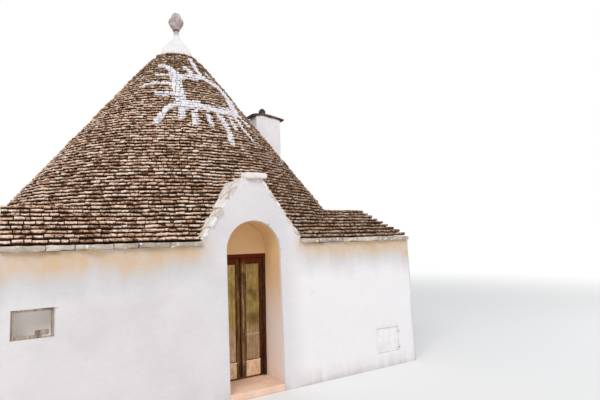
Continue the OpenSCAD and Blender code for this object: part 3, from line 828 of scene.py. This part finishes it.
def stone_tree(name, ends):
    """Lays stones side by side along a line of ends."""
    kinds = dict.fromkeys(("Length", "Height", "Stagger", "Looseness", "Tilt", "Gap", "Wander",
                           "Thinnest", "Deepness"), "Float")
    kinds |= {"Stones": "Int", "Seed": "Int", "Shapes": "Collection", "Finish": "Material"}
    tree, given = new_group(name, "GeometryNodeTree", "Geometry", kinds)

    def chance(low, high, offset):
        """A number of its own for each stone, the same for the same seed."""
        return flow(tree, "FunctionNodeRandomValue",
                    {2: low, 3: high, "Seed": given["Seed"] + float(offset)}, 1, data_type="FLOAT")

    def turn_about(offset, most=1.0):
        return given["Tilt"] * chance(-most, most, offset)

    line, spot, outwards = ends(tree, given, given["Stagger"] * chance(-1.0, 1.0, 11))
    # Courses wander up and down together by a smooth noise
    x, y = axes_of(spot)[:2]
    wave = mottle(vector_of(x, y, given["Height"]), 1.4, 2.0) - 0.5
    height = wave * given["Wander"] + given["Height"]
    placed = flow(tree, "GeometryNodeSetPosition",
                  {"Geometry": line, "Position": spot, "Offset": vector_of(0.0, 0.0, height)})
    # Each edge of the line becomes a stone as wide as the edge is long
    edge = put(tree, "GeometryNodeInputMeshEdgeVertices").outputs
    width = vector_calc("LENGTH", vector_calc("SUBTRACT", Flow(edge["Position 1"]),
                                              Flow(edge["Position 2"])))
    held = put(tree, "GeometryNodeCaptureAttribute", domain="EDGE")
    held.capture_items.new("FLOAT", "Width")
    feed(held.inputs[0], placed)
    feed(held.inputs[1], width)
    points = flow(tree, "GeometryNodeMeshToPoints", {"Mesh": Flow(held.outputs[0])}, mode="EDGES")
    facing = flow(tree, "FunctionNodeAlignRotationToVector", {"Vector": outwards}, axis="Y",
                  pivot_axis="Z")
    shake = vector_of(turn_about(29), turn_about(23), turn_about(31, 1.2))
    turned = flow(tree, "FunctionNodeRotateRotation", {"Rotation": facing, "Rotate By": shake},
                  rotation_space="LOCAL")
    size = vector_of(Flow(held.outputs["Width"]) - given["Gap"] * chance(0.3, 2.6, 39),
                     given["Deepness"] * chance(0.92, 1.06, 37), chance(given["Thinnest"], 1.03, 41))
    stones = flow(tree, "GeometryNodeCollectionInfo",
                  {"Collection": given["Shapes"], "Separate Children": True,
                   "Reset Children": True})
    pick = flow(tree, "FunctionNodeRandomValue",
                {4: 0, 5: STONE_SHAPES - 1, "Seed": given["Seed"] + 43.0}, 2, data_type="INT")
    laid = flow(tree, "GeometryNodeInstanceOnPoints",
                {"Points": points, "Instance": stones, "Pick Instance": True,
                 "Instance Index": pick, "Rotation": turned, "Scale": size})
    slip = vector_of(0.0, given["Looseness"] * chance(-1.0, 1.0, 47))
    loose = flow(tree, "GeometryNodeTranslateInstances",
                 {"Instances": laid, "Translation": slip, "Local Space": True})
    toned = flow(tree, "GeometryNodeStoreNamedAttribute",
                 {"Geometry": loose, "Name": "stone_tone", "Value": chance(0.0, 1.0, 53)},
                 data_type="FLOAT", domain="INSTANCE")
    real = flow(tree, "GeometryNodeRealizeInstances", {"Geometry": toned})
    finished = flow(tree, "GeometryNodeSetMaterial",
                    {"Geometry": real, "Material": given["Finish"]})
    feed(tree.nodes.new("NodeGroupOutput").inputs[0], finished)
    return tree


SHAPE_COLLECTIONS = []
RING_TREE = stone_tree("stone_ring", ring_of_ends)
ROW_TREE = stone_tree("stone_row", row_of_ends)
ROOF_SHAPES = rough_stones("roof_stone", STONE_DEPTH, STONE_TALL, STONE_GRID, ragged=0.008,
                           rounding=0.014, seed=5)


def lay_stones(tree, finish, shapes, Wander=0.0, Deepness=1.0, **given):
    """Evaluates a stone tree with the named inputs and returns its plain mesh."""
    given |= {"Wander": Wander, "Deepness": Deepness, "Shapes": shapes, "Finish": finish}
    inputs = {item.identifier: given[item.name]
              for item in tree.interface.items_tree if item.in_out == "INPUT"}
    return modified(bpy.data.meshes.new("course"), ("NODES", {"node_group": tree} | inputs))


def crown_inset(i):
    """How far a course near the top is rounded in from the cone's slope."""
    return CROWN_ROUND * (max(i - COURSES + CROWN_COURSES, 0) / CROWN_COURSES) ** 2


def course_radius(i):
    return CONE_R * (1 - (i + 0.5) * COURSE / CONE_RISE) - crown_inset(i)


def gable_half_at(z):
    """Half width of the gable at a height, 0 above it."""
    if z > GABLE_TOP:
        return 0.0
    if z < EAVE_TOP:
        return GABLE_HALF
    share = (z - EAVE_TOP) / (GABLE_TOP - EAVE_TOP)
    return GABLE_HALF + (GABLE_TOP_HALF - GABLE_HALF) * share


def taken(centre):
    """True where the gable or the chimney stands in a roof stone's place."""
    inset = 0.03
    if centre.y < 0 and abs(centre.x) < gable_half_at(centre.z) - inset:
        return True
    return all(STACK_LOW[a] + inset < centre[a] < STACK_HIGH[a] - inset for a in (0, 1))


def sawn(bm, stones, side):
    """Saws the stones that cross a party face, and closes their ends."""
    faces = {face for vert in stones for face in vert.link_faces}
    edges = {edge for face in faces for edge in face.edges}
    cut = bmesh.ops.bisect_plane(bm, geom=stones + list(edges) + list(faces), dist=1e-5,
                                 plane_co=(side * HALF_WIDTH, 0, 0), plane_no=(side, 0, 0),
                                 clear_outer=True)
    rim = [part for part in cut["geom_cut"] if isinstance(part, bmesh.types.BMEdge)]
    bmesh.ops.holes_fill(bm, edges=rim, sides=0)


def trimmed(bm):
    """Takes out the roof stones in the way of gable and stack, and saws at the party faces."""
    each = len(ROOF_SHAPES.objects[0].data.vertices)
    bm.verts.ensure_lookup_table()
    gone, crossing = [], {-1: [], 1: []}
    for k in range(0, len(bm.verts), each):
        stone = bm.verts[k:k + each]
        middle = sum((v.co for v in stone), Vector()) / each
        out = Vector((middle.x, middle.y, 0))
        face = middle + out * (0.5 * STONE_DEPTH / max(out.length, 0.1))
        lowest, highest = min(v.co.x for v in stone), max(v.co.x for v in stone)
        if taken(face) or lowest > HALF_WIDTH or highest < -HALF_WIDTH:
            gone += stone
        elif highest > HALF_WIDTH:
            crossing[1] += stone
        elif lowest < -HALF_WIDTH:
            crossing[-1] += stone
    bmesh.ops.delete(bm, geom=gone, context="VERTS")
    for side, stones in crossing.items():
        if stones:
            sawn(bm, stones, side)
    return bm


def held_behind_party_faces(bm):
    for v in bm.verts:
        v.co.x = max(CORE_IN - HALF_WIDTH, min(HALF_WIDTH - CORE_IN, v.co.x))


def over_core(stones, core):
    """Stones and their core as one mesh: the sawn ends at the party faces look like the core."""
    whole = joined((mesh_of(stones), 0), (mesh_of(core), 1))
    whole.normal_update()
    for face in whole.faces:
        if abs(face.normal.x) > 0.9 and abs(face.calc_center_median().x) > PARTY_FACE:
            face.material_index = 1
    return whole


def set_back_core(node):
    """The solid of a band, drawn in behind the stones' faces."""
    bm = solid_of(node)
    for v in bm.verts:
        reach = math.hypot(v.co.x, v.co.y)
        surface = course_radius((v.co.z - EAVE_TOP) / COURSE - 0.5)
        at_party_face = abs(v.co.x) > PARTY_FACE
        if reach > surface - OUTER_SKIN:
            v.co.y *= (reach - CORE_BACK) / reach
            if not at_party_face:
                v.co.x *= (reach - CORE_BACK) / reach
    held_behind_party_faces(bm)
    return bm


def cone_bands():
    """The courses of the cone, band by band, over a dark core."""
    for band in range(BANDS):
        first, last = band * BAND_COURSES, min((band + 1) * BAND_COURSES, COURSES)
        stones = bmesh.new()
        for i in range(first, last):
            radius = course_radius(i) + STONE_PROUD
            width = STONE_LOW_WIDTH + (STONE_HIGH_WIDTH - STONE_LOW_WIDTH) * i / COURSES
            course = lay_stones(RING_TREE, ROOF_STONE, ROOF_SHAPES, Length=radius,
                                Height=EAVE_TOP + i * COURSE,
                                Stones=round(math.tau * radius / width), Stagger=0.40,
                                Looseness=0.015, Tilt=0.05, Gap=0.007, Wander=0.05,
                                Thinnest=0.72, Seed=100 + 7 * i)
            stones.from_mesh(course)
        stones = trimmed(stones)
        node = f"cone_band_{band + 1}"
        finish_piece(f"roof_courses_{band + 1}", over_core(stones, set_back_core(node)),
                     (ROOF_STONE, ROOF_CORE), "roof_stone", node)


def mirrored(mesh, across_x=False, across_y=False):
    """The mesh, turned over to the other side and to the rear where asked."""
    mesh.transform(Matrix.Diagonal((-1 if across_x else 1, -1 if across_y else 1, 1, 1)))
    if across_x != across_y:
        mesh.flip_normals()
    return mesh


def skirt_row(i):
    """Level, face and length of a row of the skirts: steps at first, then a flat top."""
    level = min(i, SKIRT_COURSES - 1)
    away = EAVE_FRONT - SKIRT_BACK - (i + SKIRT_SET) * SKIRT_STEP
    end = math.sqrt(course_radius(level) ** 2 - (away - SKIRT_THIN) ** 2)
    return level, away, HALF_WIDTH - end


def corner_skirts():
    """Stepped courses that fill the corners between the straight eaves and the round cone."""
    for label, rear in (("front_skirts", False), ("rear_skirts", True)):
        stones = bmesh.new()
        for side in (-1, 1):
            for i in range(SKIRT_COURSES + SKIRT_FLAT_ROWS):
                level, away, length = skirt_row(i)
                flat = i >= SKIRT_COURSES
                row = lay_stones(ROW_TREE, ROOF_STONE, ROOF_SHAPES, Length=length,
                                 Height=EAVE_TOP + level * COURSE,
                                 Stones=max(1 if flat else 2, round(length / STONE_LOW_WIDTH)),
                                 Stagger=0.36, Looseness=0.004 if flat else 0.012,
                                 Tilt=0.02 if flat else 0.04, Gap=0.007,
                                 Thinnest=0.9 if flat else 0.76, Deepness=0.6 if flat else 1.0,
                                 Seed=900 + 13 * i + 101 * (side > 0) + 211 * rear)
                row.transform(Matrix.Translation((-HALF_WIDTH, -away - STONE_PROUD, 0)))
                stones.from_mesh(mirrored(row, across_x=side > 0, across_y=rear))
        stones = trimmed(stones)
        core = solid_of(label)
        for v in core.verts:
            v.co.y -= math.copysign(CORE_BACK, v.co.y)
            if v.co.z > EAVE_TOP + 0.01:
                v.co.z -= SKIRT_CORE_LOWER
        held_behind_party_faces(core)
        finish_piece(label + "_stones", over_core(stones, core), (ROOF_STONE, ROOF_CORE),
                     "roof_stone", label)


def eave_rows():
    """Flat slabs that stand out over the walls."""
    low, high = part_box("rear_eaves")
    depth, tall = high.y - low.y, high.z - low.z
    shapes = rough_stones("eave_slab", depth, tall - 0.004, (5, 1, 3), ragged=0.010,
                          rounding=0.012, seed=17)
    rows = ((-HALF_WIDTH, -GABLE_HALF, False, 31), (GABLE_HALF, HALF_WIDTH, False, 57))
    pieces = {"front_eaves": rows, "rear_eaves": ((-HALF_WIDTH, HALF_WIDTH, True, 83),)}
    for node, spans in pieces.items():
        slabs = bmesh.new()
        for start, end, rear, seed in spans:
            length = end - start
            row = lay_stones(ROW_TREE, EAVE_STONE, shapes, Length=length, Height=WALL_TOP,
                             Stones=round(length / SLAB_WIDTH), Stagger=0.22, Looseness=0.010,
                             Tilt=0.012, Gap=0.005, Thinnest=0.86, Seed=seed)
            row.transform(Matrix.Translation((start, -EAVE_FRONT, 0)))
            slabs.from_mesh(mirrored(row, across_y=rear))
        finish_piece(node + "_slabs", slabs, EAVE_STONE, "limestone", node)


def gable_copings():
    """Whitewashed rough stones up both rakes of the gable."""
    depth, tall, proud, sunk = 0.34, 0.062, 0.022, 0.02
    rise, run = GABLE_TOP - EAVE_TOP, GABLE_HALF - GABLE_TOP_HALF
    length = math.hypot(rise, run)
    shapes = rough_stones("coping", depth, tall, (4, 3, 2), ragged=0.012, rounding=0.016, seed=23)
    face = -HALF_DEPTH + BATTER * EAVE_TOP
    copings = bmesh.new()
    for side in (-1, 1):
        row = lay_stones(ROW_TREE, COPING_STONE, shapes, Length=length, Height=-sunk,
                         Stones=6, Stagger=0.25, Looseness=0.012, Tilt=0.05, Gap=0.004,
                         Thinnest=0.86, Seed=300 + side)
        row.transform(Matrix.Rotation(-math.atan2(rise, run), 4, "Y"))
        lean = Matrix.Identity(4)
        lean[1][2] = BATTER
        row.transform(lean)
        row.transform(Matrix.Translation((-GABLE_HALF, face - proud, EAVE_TOP)))
        copings.from_mesh(mirrored(row, across_x=side > 0))
    finish_piece("gable_copings", copings, COPING_STONE, "white_plaster")


# Walls and stone work


def limewashed_walls():
    """All rendered masonry as one shell with rounded arrises and uneven faces."""
    names = ("front_wall_left", "front_wall_right", "gable", "tympanum", "door_lintel",
             "rear_wall", "left_party_wall", "right_party_wall")
    tools = [linked("joining_" + name, mesh_of(solid_of(name))) for name in names[1:]]
    steps = [("BOOLEAN", {"object": tool, "operation": "UNION", "solver": "EXACT"})
             for tool in tools]
    bm = bmesh_of(modified(mesh_of(solid_of(names[0])), *steps))
    for tool in tools:
        bpy.data.objects.remove(tool)
    bmesh.ops.remove_doubles(bm, verts=bm.verts, dist=1e-4)
    bmesh.ops.dissolve_limit(bm, angle_limit=math.radians(1), verts=bm.verts, edges=bm.edges)
    bm = eased(bm, 0.022, 3, 35)
    gridded(bm, 0.11, (-HALF_WIDTH, -HALF_DEPTH, 0), (HALF_WIDTH, HALF_DEPTH, GABLE_TOP))

    def held(p):
        if p.z < 0.01:
            return 1.0
        beside = fading(abs(p.x), DOOR_HALF + 0.03, DOOR_HALF + 0.35)
        return beside * fading(p.z, DOOR_HEAD, DOOR_HEAD + 0.5) * (p.y < 0)

    uneven(bm, 0.014, 0.75, 1, held)
    uneven(bm, 0.007, 0.22, 2, held)
    for v in bm.verts:
        v.co.x = max(-HALF_WIDTH, min(HALF_WIDTH, v.co.x))
    finish_piece("limewashed_walls", bm, LIMEWASH, "white_plaster", *names, smooth_deg=50)


def worn(node, ease, spacing, depth, wavelength, seed, hold=None):
    """A solid's own shape with rounded arrises and an uneven, hand-worked face."""
    bm = eased(solid_of(node), ease, 3)
    gridded(bm, spacing, *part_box(node))
    uneven(bm, depth, wavelength, seed, hold)
    return bm


def worn_sill():
    """The threshold, dished by feet in the middle of its tread."""
    dish, dish_half, near = 0.009, 0.28, 0.02
    bm = worn("threshold", ease=0.014, spacing=0.05, depth=0.004, wavelength=0.12, seed=6,
              hold=lambda p: p.z < near)
    for v in bm.verts:
        if v.co.z > SILL_TOP - near and v.co.y < DOOR_FACE - near:
            v.co.z -= dish * math.exp(-((v.co.x / dish_half) ** 2))
    finish_piece("worn_threshold", bm, SILL_STONE, "threshold_stone", "threshold", smooth_deg=50)


def gable_cap_slab():
    slab = worn("gable_slab", ease=0.026, spacing=0.05, depth=0.014, wavelength=0.12, seed=51)
    finish_piece("gable_cap_slab", slab, SLAB_STONE, "limestone", "gable_slab", smooth_deg=50)


def turned_stone(node, name, finish, profile, turns, depth, wavelength, seed,
                 smooth_deg=50, slot="finial_stone"):
    """A round stone from a profile of (radius, height), closed at its poles, slightly uneven."""
    bm = bmesh.new()
    rings = []
    for radius, height in profile:
        if radius < 1e-6:
            rings.append([bm.verts.new((0, 0, height))])
            continue
        rings.append([bm.verts.new((radius * math.cos(math.tau * k / turns),
                                    radius * math.sin(math.tau * k / turns), height))
                      for k in range(turns)])
    for lower, upper in zip(rings, rings[1:]):
        for k in range(turns):
            n = (k + 1) % turns
            if len(lower) == 1:
                bm.faces.new((lower[0], upper[n], upper[k]))
            elif len(upper) == 1:
                bm.faces.new((lower[k], lower[n], upper[0]))
            else:
                bm.faces.new((lower[k], lower[n], upper[n], upper[k]))
    bmesh.ops.recalc_face_normals(bm, faces=bm.faces)
    uneven(bm, depth, wavelength, seed)
    finish_piece(name, bm, finish, slot, node, smooth_deg=smooth_deg)


def rounded(points):
    """Softens a profile's corners by cutting them twice."""
    for _ in range(2):
        softer = [points[0]]
        for a, b in zip(points, points[1:]):
            a, b = Vector(a), Vector(b)
            softer += [tuple(a.lerp(b, 0.25)), tuple(a.lerp(b, 0.75))]
        points = softer + [points[-1]]
    return points


def plaster_cap():
    """A low plaster cone that sweeps up into a neck."""
    low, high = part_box("pinnacle_cap")
    steps, neck_r, rim, neck_tall = 18, 0.05, 0.04, 0.05
    rim_z, neck_z = low.z + rim, high.z - neck_tall
    sweep = [(neck_r + (high.x - neck_r) * (1 + math.cos(math.pi * k / steps)) / 2,
              rim_z + (neck_z - rim_z) * k / steps) for k in range(steps + 1)]
    foot = [(0, low.z), (high.x - 0.01, low.z), (high.x, low.z + 0.008)]
    turned_stone("pinnacle_cap", "plaster_cap", LIT_LIMEWASH,
                 foot + sweep + [(neck_r, high.z), (0, high.z)], turns=56, depth=0.010,
                 wavelength=0.16, seed=31, slot="white_plaster")


def dark_collar():
    low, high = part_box("pinnacle_collar")
    profile = rounded([(0, low.z), (high.x, low.z), (high.x, high.z), (0, high.z)])
    turned_stone("pinnacle_collar", "dark_collar", COLLAR_STONE, profile, turns=40,
                 depth=0.004, wavelength=0.03, seed=32, smooth_deg=60)


def carved_bowl():
    """A flaring bowl, a groove, and an upright rim."""
    low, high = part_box("pinnacle_bowl")
    r, steps, foot = high.x, 10, 0.066
    rim_z = high.z - 0.105
    flare = [(foot + (r - 0.004 - foot) * (k / steps) ** 0.85, low.z + (rim_z - low.z) * k / steps)
             for k in range(steps + 1)]
    groove = [(r - inset, rim_z + up)
              for inset, up in ((0.010, 0.004), (0.018, 0.009), (0.018, 0.015), (0.006, 0.020),
                                (-0.002, 0.030))]
    drum = [(r - inset, high.z - down)
            for inset, down in ((-0.003, 0.045), (0, 0.020), (0.010, 0.006), (0.026, 0))]
    turned_stone("pinnacle_bowl", "carved_bowl", CARVED_STONE,
                 [(0, low.z), (foot * 0.7, low.z)] + flare + groove + drum
                 + [(r * 0.5, high.z), (0, high.z)], turns=48, depth=0.007, wavelength=0.06,
                 seed=33)


def carved_ball():
    low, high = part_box("pinnacle_ball")
    steps, ball_r = 16, 0.108
    centre = high.z - ball_r
    start = math.asin(max(-1, (low.z - centre) / ball_r))
    angles = [start + (math.pi / 2 - start) * k / steps for k in range(steps)]
    curve = [(ball_r * math.cos(a), centre + ball_r * math.sin(a)) for a in angles]
    turned_stone("pinnacle_ball", "carved_ball", BALL_STONE, [(0, low.z)] + curve + [(0, high.z)],
                 turns=40, depth=0.006, wavelength=0.05, seed=34, smooth_deg=60)


def chimney():
    """The stack, its two leaning slabs and the round stone on their ridge."""
    stack = worn("chimney_stack", ease=0.014, spacing=0.07, depth=0.010, wavelength=0.25, seed=41)
    finish_piece("limewashed_stack", stack, LIT_LIMEWASH, "white_plaster", "chimney_stack",
                 smooth_deg=50)
    slabs = worn("chimney_cap", ease=0.010, spacing=0.06, depth=0.012, wavelength=0.09, seed=42)
    finish_piece("stack_cap_slabs", slabs, CAP_STONE, "limestone", "chimney_cap", smooth_deg=35)
    low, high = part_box("chimney_ball")
    ball_r = 0.08
    centre = Vector(((low.x + high.x) / 2, (low.y + high.y) / 2, high.z - ball_r))
    bm = bmesh.new()
    bmesh.ops.create_icosphere(bm, subdivisions=4, radius=ball_r)
    for v in bm.verts:
        v.co += centre
        v.co.z = max(v.co.z, low.z)
    uneven(bm, 0.016, 0.05, 43)
    finish_piece("ridge_stone", bm, CAP_STONE, "finial_stone", "chimney_ball", smooth_deg=60)


# Joinery, niche and hatch

STILE, PANEL, LOW_PANEL, RAIL, STRIP, LEDGE = range(6)
DOOR_FINISHES = (STILE_WOOD, PANEL_WOOD, LOW_PANEL_WOOD, FRAME_WOOD, STRIP_HIGHLIGHT_WOOD, LEDGE_WOOD)


def door_leaf(node, name, body, side, seed):
    """A leaf of dark stiles and rails, a tall panel and a pale low one, each a board of its own."""
    low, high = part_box(node)
    hinge_stile, top_rail, foot_rail, ledge, low_panel = 0.056, 0.085, 0.020, 0.022, 0.215
    lap, bead, bevel = 0.004, 0.008, 0.008
    meet_stile = 0.062 if side < 0 else 0.080
    hinge_x, meet_x = (low.x, high.x) if side < 0 else (high.x, low.x)
    front, back = low.y, high.y
    panel_y = front + 0.010
    face_x = meet_x + side * bevel
    inner = (hinge_x - side * hinge_stile, face_x + side * meet_stile)
    low_z = low.z + foot_rail
    mid_z = low_z + low_panel
    panel_low, panel_high = mid_z + ledge, high.z - top_rail
    boards = []

    def add(x0, x1, y0, y1, z0, z1, finish, ease=0.004, warp=0.003):
        corner = (min(x0, x1), y0, z0), (max(x0, x1), y1, z1)
        plank = board(*corner, ease=ease, warp=warp, seed=seed + len(boards), cuts=14)
        boards.append((plank, finish))

    add(hinge_x, inner[0], front, back, low.z, high.z, RAIL)
    add(inner[1], face_x, front, back - 0.002, low.z, high.z, STILE)
    if side > 0:
        # A paler cover strip down the middle of the meeting stile, its paleness a painted highlight
        add(face_x + 0.022, face_x + 0.040, front - 0.004, front + 0.004, low.z + 0.01, panel_high,
            STRIP, ease=0.003, warp=0.001)
    add(*inner, front + 0.001, back, low.z, low_z, STILE)
    add(*inner, front - 0.002, back, mid_z, panel_low, LEDGE)
    add(*inner, front + 0.001, back, panel_high, high.z, RAIL)
    middle = (inner[0] + inner[1]) / 2
    for x0, x1, lift in ((inner[0], middle + side * 0.001, 0.0),
                         (middle - side * 0.001, inner[1], 0.001)):
        add(x0, x1, panel_y + lift, back - 0.006, panel_low - lap, panel_high + lap, PANEL,
            ease=0.002, warp=0.005)
    add(*inner, front + 0.004, back - 0.006, low_z - lap, mid_z + lap, LOW_PANEL, warp=0.004)
    # Beads round the tall panel
    across = [(*inner, z, z + bead) for z in (panel_low, panel_high - bead)]
    upright = [(x, x + towards * bead, panel_low, panel_high)
               for x, towards in ((inner[0], -side), (inner[1], side))]
    for x0, x1, z0, z1 in across + upright:
        add(x0, x1, front + 0.003, panel_y + 0.004, z0, z1, RAIL, ease=0.002, warp=0.001)
    finish_piece(name, joined(*boards), DOOR_FINISHES, "door_wood", node, body=body, smooth_deg=40)


def eased_copy(node, name, material, slot, ease, body="house"):
    """A solid's own shape with eased edges."""
    finish_piece(name, eased(solid_of(node), ease), material, slot, node, body=body, smooth_deg=35)


def niche_boards():
    """The niche's weathered frame, with a gap where its lower board has broken off."""
    low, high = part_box("niche_frame")
    thick, gap, back = 0.032, 0.09, 0.002
    left, right = low.x + thick, high.x - thick
    spans = (((low.x, low.y, low.z), (left, high.y, high.z)),
             ((right, low.y, low.z), (high.x, high.y, high.z)),
             ((left, low.y + back, high.z - thick), (right, high.y, high.z)),
             ((left, low.y + back, low.z), (right - gap, high.y, low.z + thick)))
    boards = [board(*span, ease=0.004, warp=0.004, seed=61 + k, cuts=10)
              for k, span in enumerate(spans)]
    # A broken scrap still stands over the gap
    boards.append(board((right - 0.16, low.y + 0.001, low.z + thick),
                        (right - 0.02, high.y - 0.006, low.z + thick + 0.05), ease=0.004,
                        warp=0.01, seed=65, cuts=8))
    whole = joined(*((plank, 0) for plank in boards))
    finish_piece("niche_boards", whole, NICHE_WOOD, "niche_wood", "niche_frame", smooth_deg=40)


def carried_over():
    """Solids whose shape is right keep it, with a finish of their own."""
    finishes = dict.fromkeys(("corner_vaults", "dome_foot", "dome_lower", "dome_middle",
                              "dome_upper", "dome_keystone"), DOME_STONE)
    for node, material in (finishes | {"wall_head": ROOF_CORE, "room_floor": FLOOR_FLAGS}).items():
        mesh = frame["nodes"][node].data
        mesh.materials.clear()
        mesh.materials.append(material)


# Studio

FOCAL_PX = 460.0
IMAGE_WIDTH_PX = 600.0
EYE = Vector((-3.11, -9.69, 2.25))
YAW, PITCH, ROLL = math.radians(32.88), math.radians(4.55), math.radians(-1.34)
FLOOR_REACH = 60.0
LIT_PLACE = Vector((0, 0, 2.5))
# Each lamp's place, size, power and colour
LAMPS = {
    "key": (Vector((-9.0, -11.0, 12.0)), 7.0, 1020.0, (1.0, 0.97, 0.93)),
    "fill": (Vector((10.0, -8.0, 7.0)), 8.0, 280.0, (0.97, 0.98, 1.0)),
}


def studio_camera():
    """Stands where the photograph was taken from, and looks the same way."""
    data = bpy.data.cameras.new("street_view")
    data.sensor_width = 36.0
    data.lens = FOCAL_PX / IMAGE_WIDTH_PX * data.sensor_width
    data.clip_end = 200.0
    camera = linked("street_view", data)
    ahead = Vector((math.sin(YAW) * math.cos(PITCH), math.cos(YAW) * math.cos(PITCH),
                    math.sin(PITCH)))
    right = Vector((math.cos(YAW), -math.sin(YAW), 0))
    up = right.cross(ahead)
    across = math.cos(ROLL) * right + math.sin(ROLL) * up
    upward = -math.sin(ROLL) * right + math.cos(ROLL) * up
    turn = Matrix((across, upward, -ahead)).transposed()
    camera.matrix_world = Matrix.Translation(EYE) @ turn.to_4x4()
    bpy.context.scene.camera = camera


def seen_directly(tree):
    """1 for rays from the camera and for those that gloss or glass passes on."""
    path = put(tree, "ShaderNodeLightPath").outputs
    some = calc("MAXIMUM", Flow(path["Is Camera Ray"]), Flow(path["Is Glossy Ray"]))
    return calc("MAXIMUM", some, Flow(path["Is Transmission Ray"]))


def white_world():
    """Plain soft light from all round, before a background that shows white."""
    world = bpy.data.worlds.new("studio")
    bpy.context.scene.world = world
    world.use_nodes = True
    tree = world.node_tree
    tree.nodes.clear()
    ambient = flow(tree, "ShaderNodeBackground", {"Color": (0.96, 0.98, 1.0), "Strength": 0.66})
    white = flow(tree, "ShaderNodeBackground", {"Color": (1, 1, 1), "Strength": 1.0})
    mixed = flow(tree, "ShaderNodeMixShader", {0: seen_directly(tree), 1: ambient, 2: white})
    feed(tree.nodes.new("ShaderNodeOutputWorld").inputs[0], mixed)


def pale_floor():
    """A floor that fades to white far out and keeps the house's shadow."""
    corners = [(x * FLOOR_REACH, y * FLOOR_REACH, 0)
               for x, y in ((-1, -1), (1, -1), (1, 1), (-1, 1))]
    floor = bpy.data.meshes.new("studio_floor")
    floor.from_pydata(corners, [], [(0, 1, 2, 3)])
    pale = Finish("pale_floor", 0.9, 0.1)
    feed(pale.shader.inputs["Base Color"], (0.86, 0.86, 0.86))
    fade = between(vector_calc("LENGTH", pale.place), 7.0, 22.0) * seen_directly(pale.tree)
    glow = flow(pale.tree, "ShaderNodeEmission", {"Color": (1, 1, 1), "Strength": 1.0})
    feed(pale.surface, flow(pale.tree, "ShaderNodeMixShader",
                            {0: fade, 1: Flow(pale.shader.outputs[0]), 2: glow}))
    floor.materials.append(pale.material)
    linked("studio_floor", floor)


def lamps():
    for label, (spot, size, power, colour) in LAMPS.items():
        data = bpy.data.lights.new(label, "AREA")
        data.size, data.energy, data.color = size, power, colour
        lamp = linked(label, data)
        lamp.location = spot
        lamp.rotation_euler = (LIT_PLACE - spot).to_track_quat("-Z", "Y").to_euler()


# The house in its studio

studio_camera()
white_world()
pale_floor()
lamps()
bpy.context.scene.view_settings.view_transform = "Standard"
limewashed_walls()
cone_bands()
corner_skirts()
eave_rows()
gable_copings()
gable_cap_slab()
worn_sill()
plaster_cap()
dark_collar()
carved_bowl()
carved_ball()
chimney()
door_leaf("left_leaf", "left_door_leaf", "left_door", -1, 71)
door_leaf("right_leaf", "right_door_leaf", "right_door", 1, 91)
eased_copy("door_frame", "door_surround", FRAME_WOOD, "frame_wood", 0.005)
eased_copy("left_straps", "left_strap_irons", IRON, "iron", 0.0012, "left_door")
eased_copy("right_straps", "right_strap_irons", IRON, "iron", 0.0012, "right_door")
eased_copy("pintles", "pintle_irons", IRON, "iron", 0.0015)
niche_boards()
eased_copy("hatch_frame", "hatch_surround", CHALKY_PAINT, "hatch_paint", 0.002)
eased_copy("hatch_door", "hatch_leaf", CHALKY_PAINT, "hatch_paint", 0.002, "hatch")
eased_copy("hatch_straps", "hatch_strap_irons", CHALKY_PAINT, "iron", 0.0008, "hatch")
eased_copy("hatch_pins", "hatch_pin_irons", IRON, "iron", 0.0008)
carried_over()

# The shapes that the stone trees picked from aren't part of the house
for collection in SHAPE_COLLECTIONS:
    for obj in list(collection.objects):
        bpy.data.objects.remove(obj)
    bpy.data.collections.remove(collection)
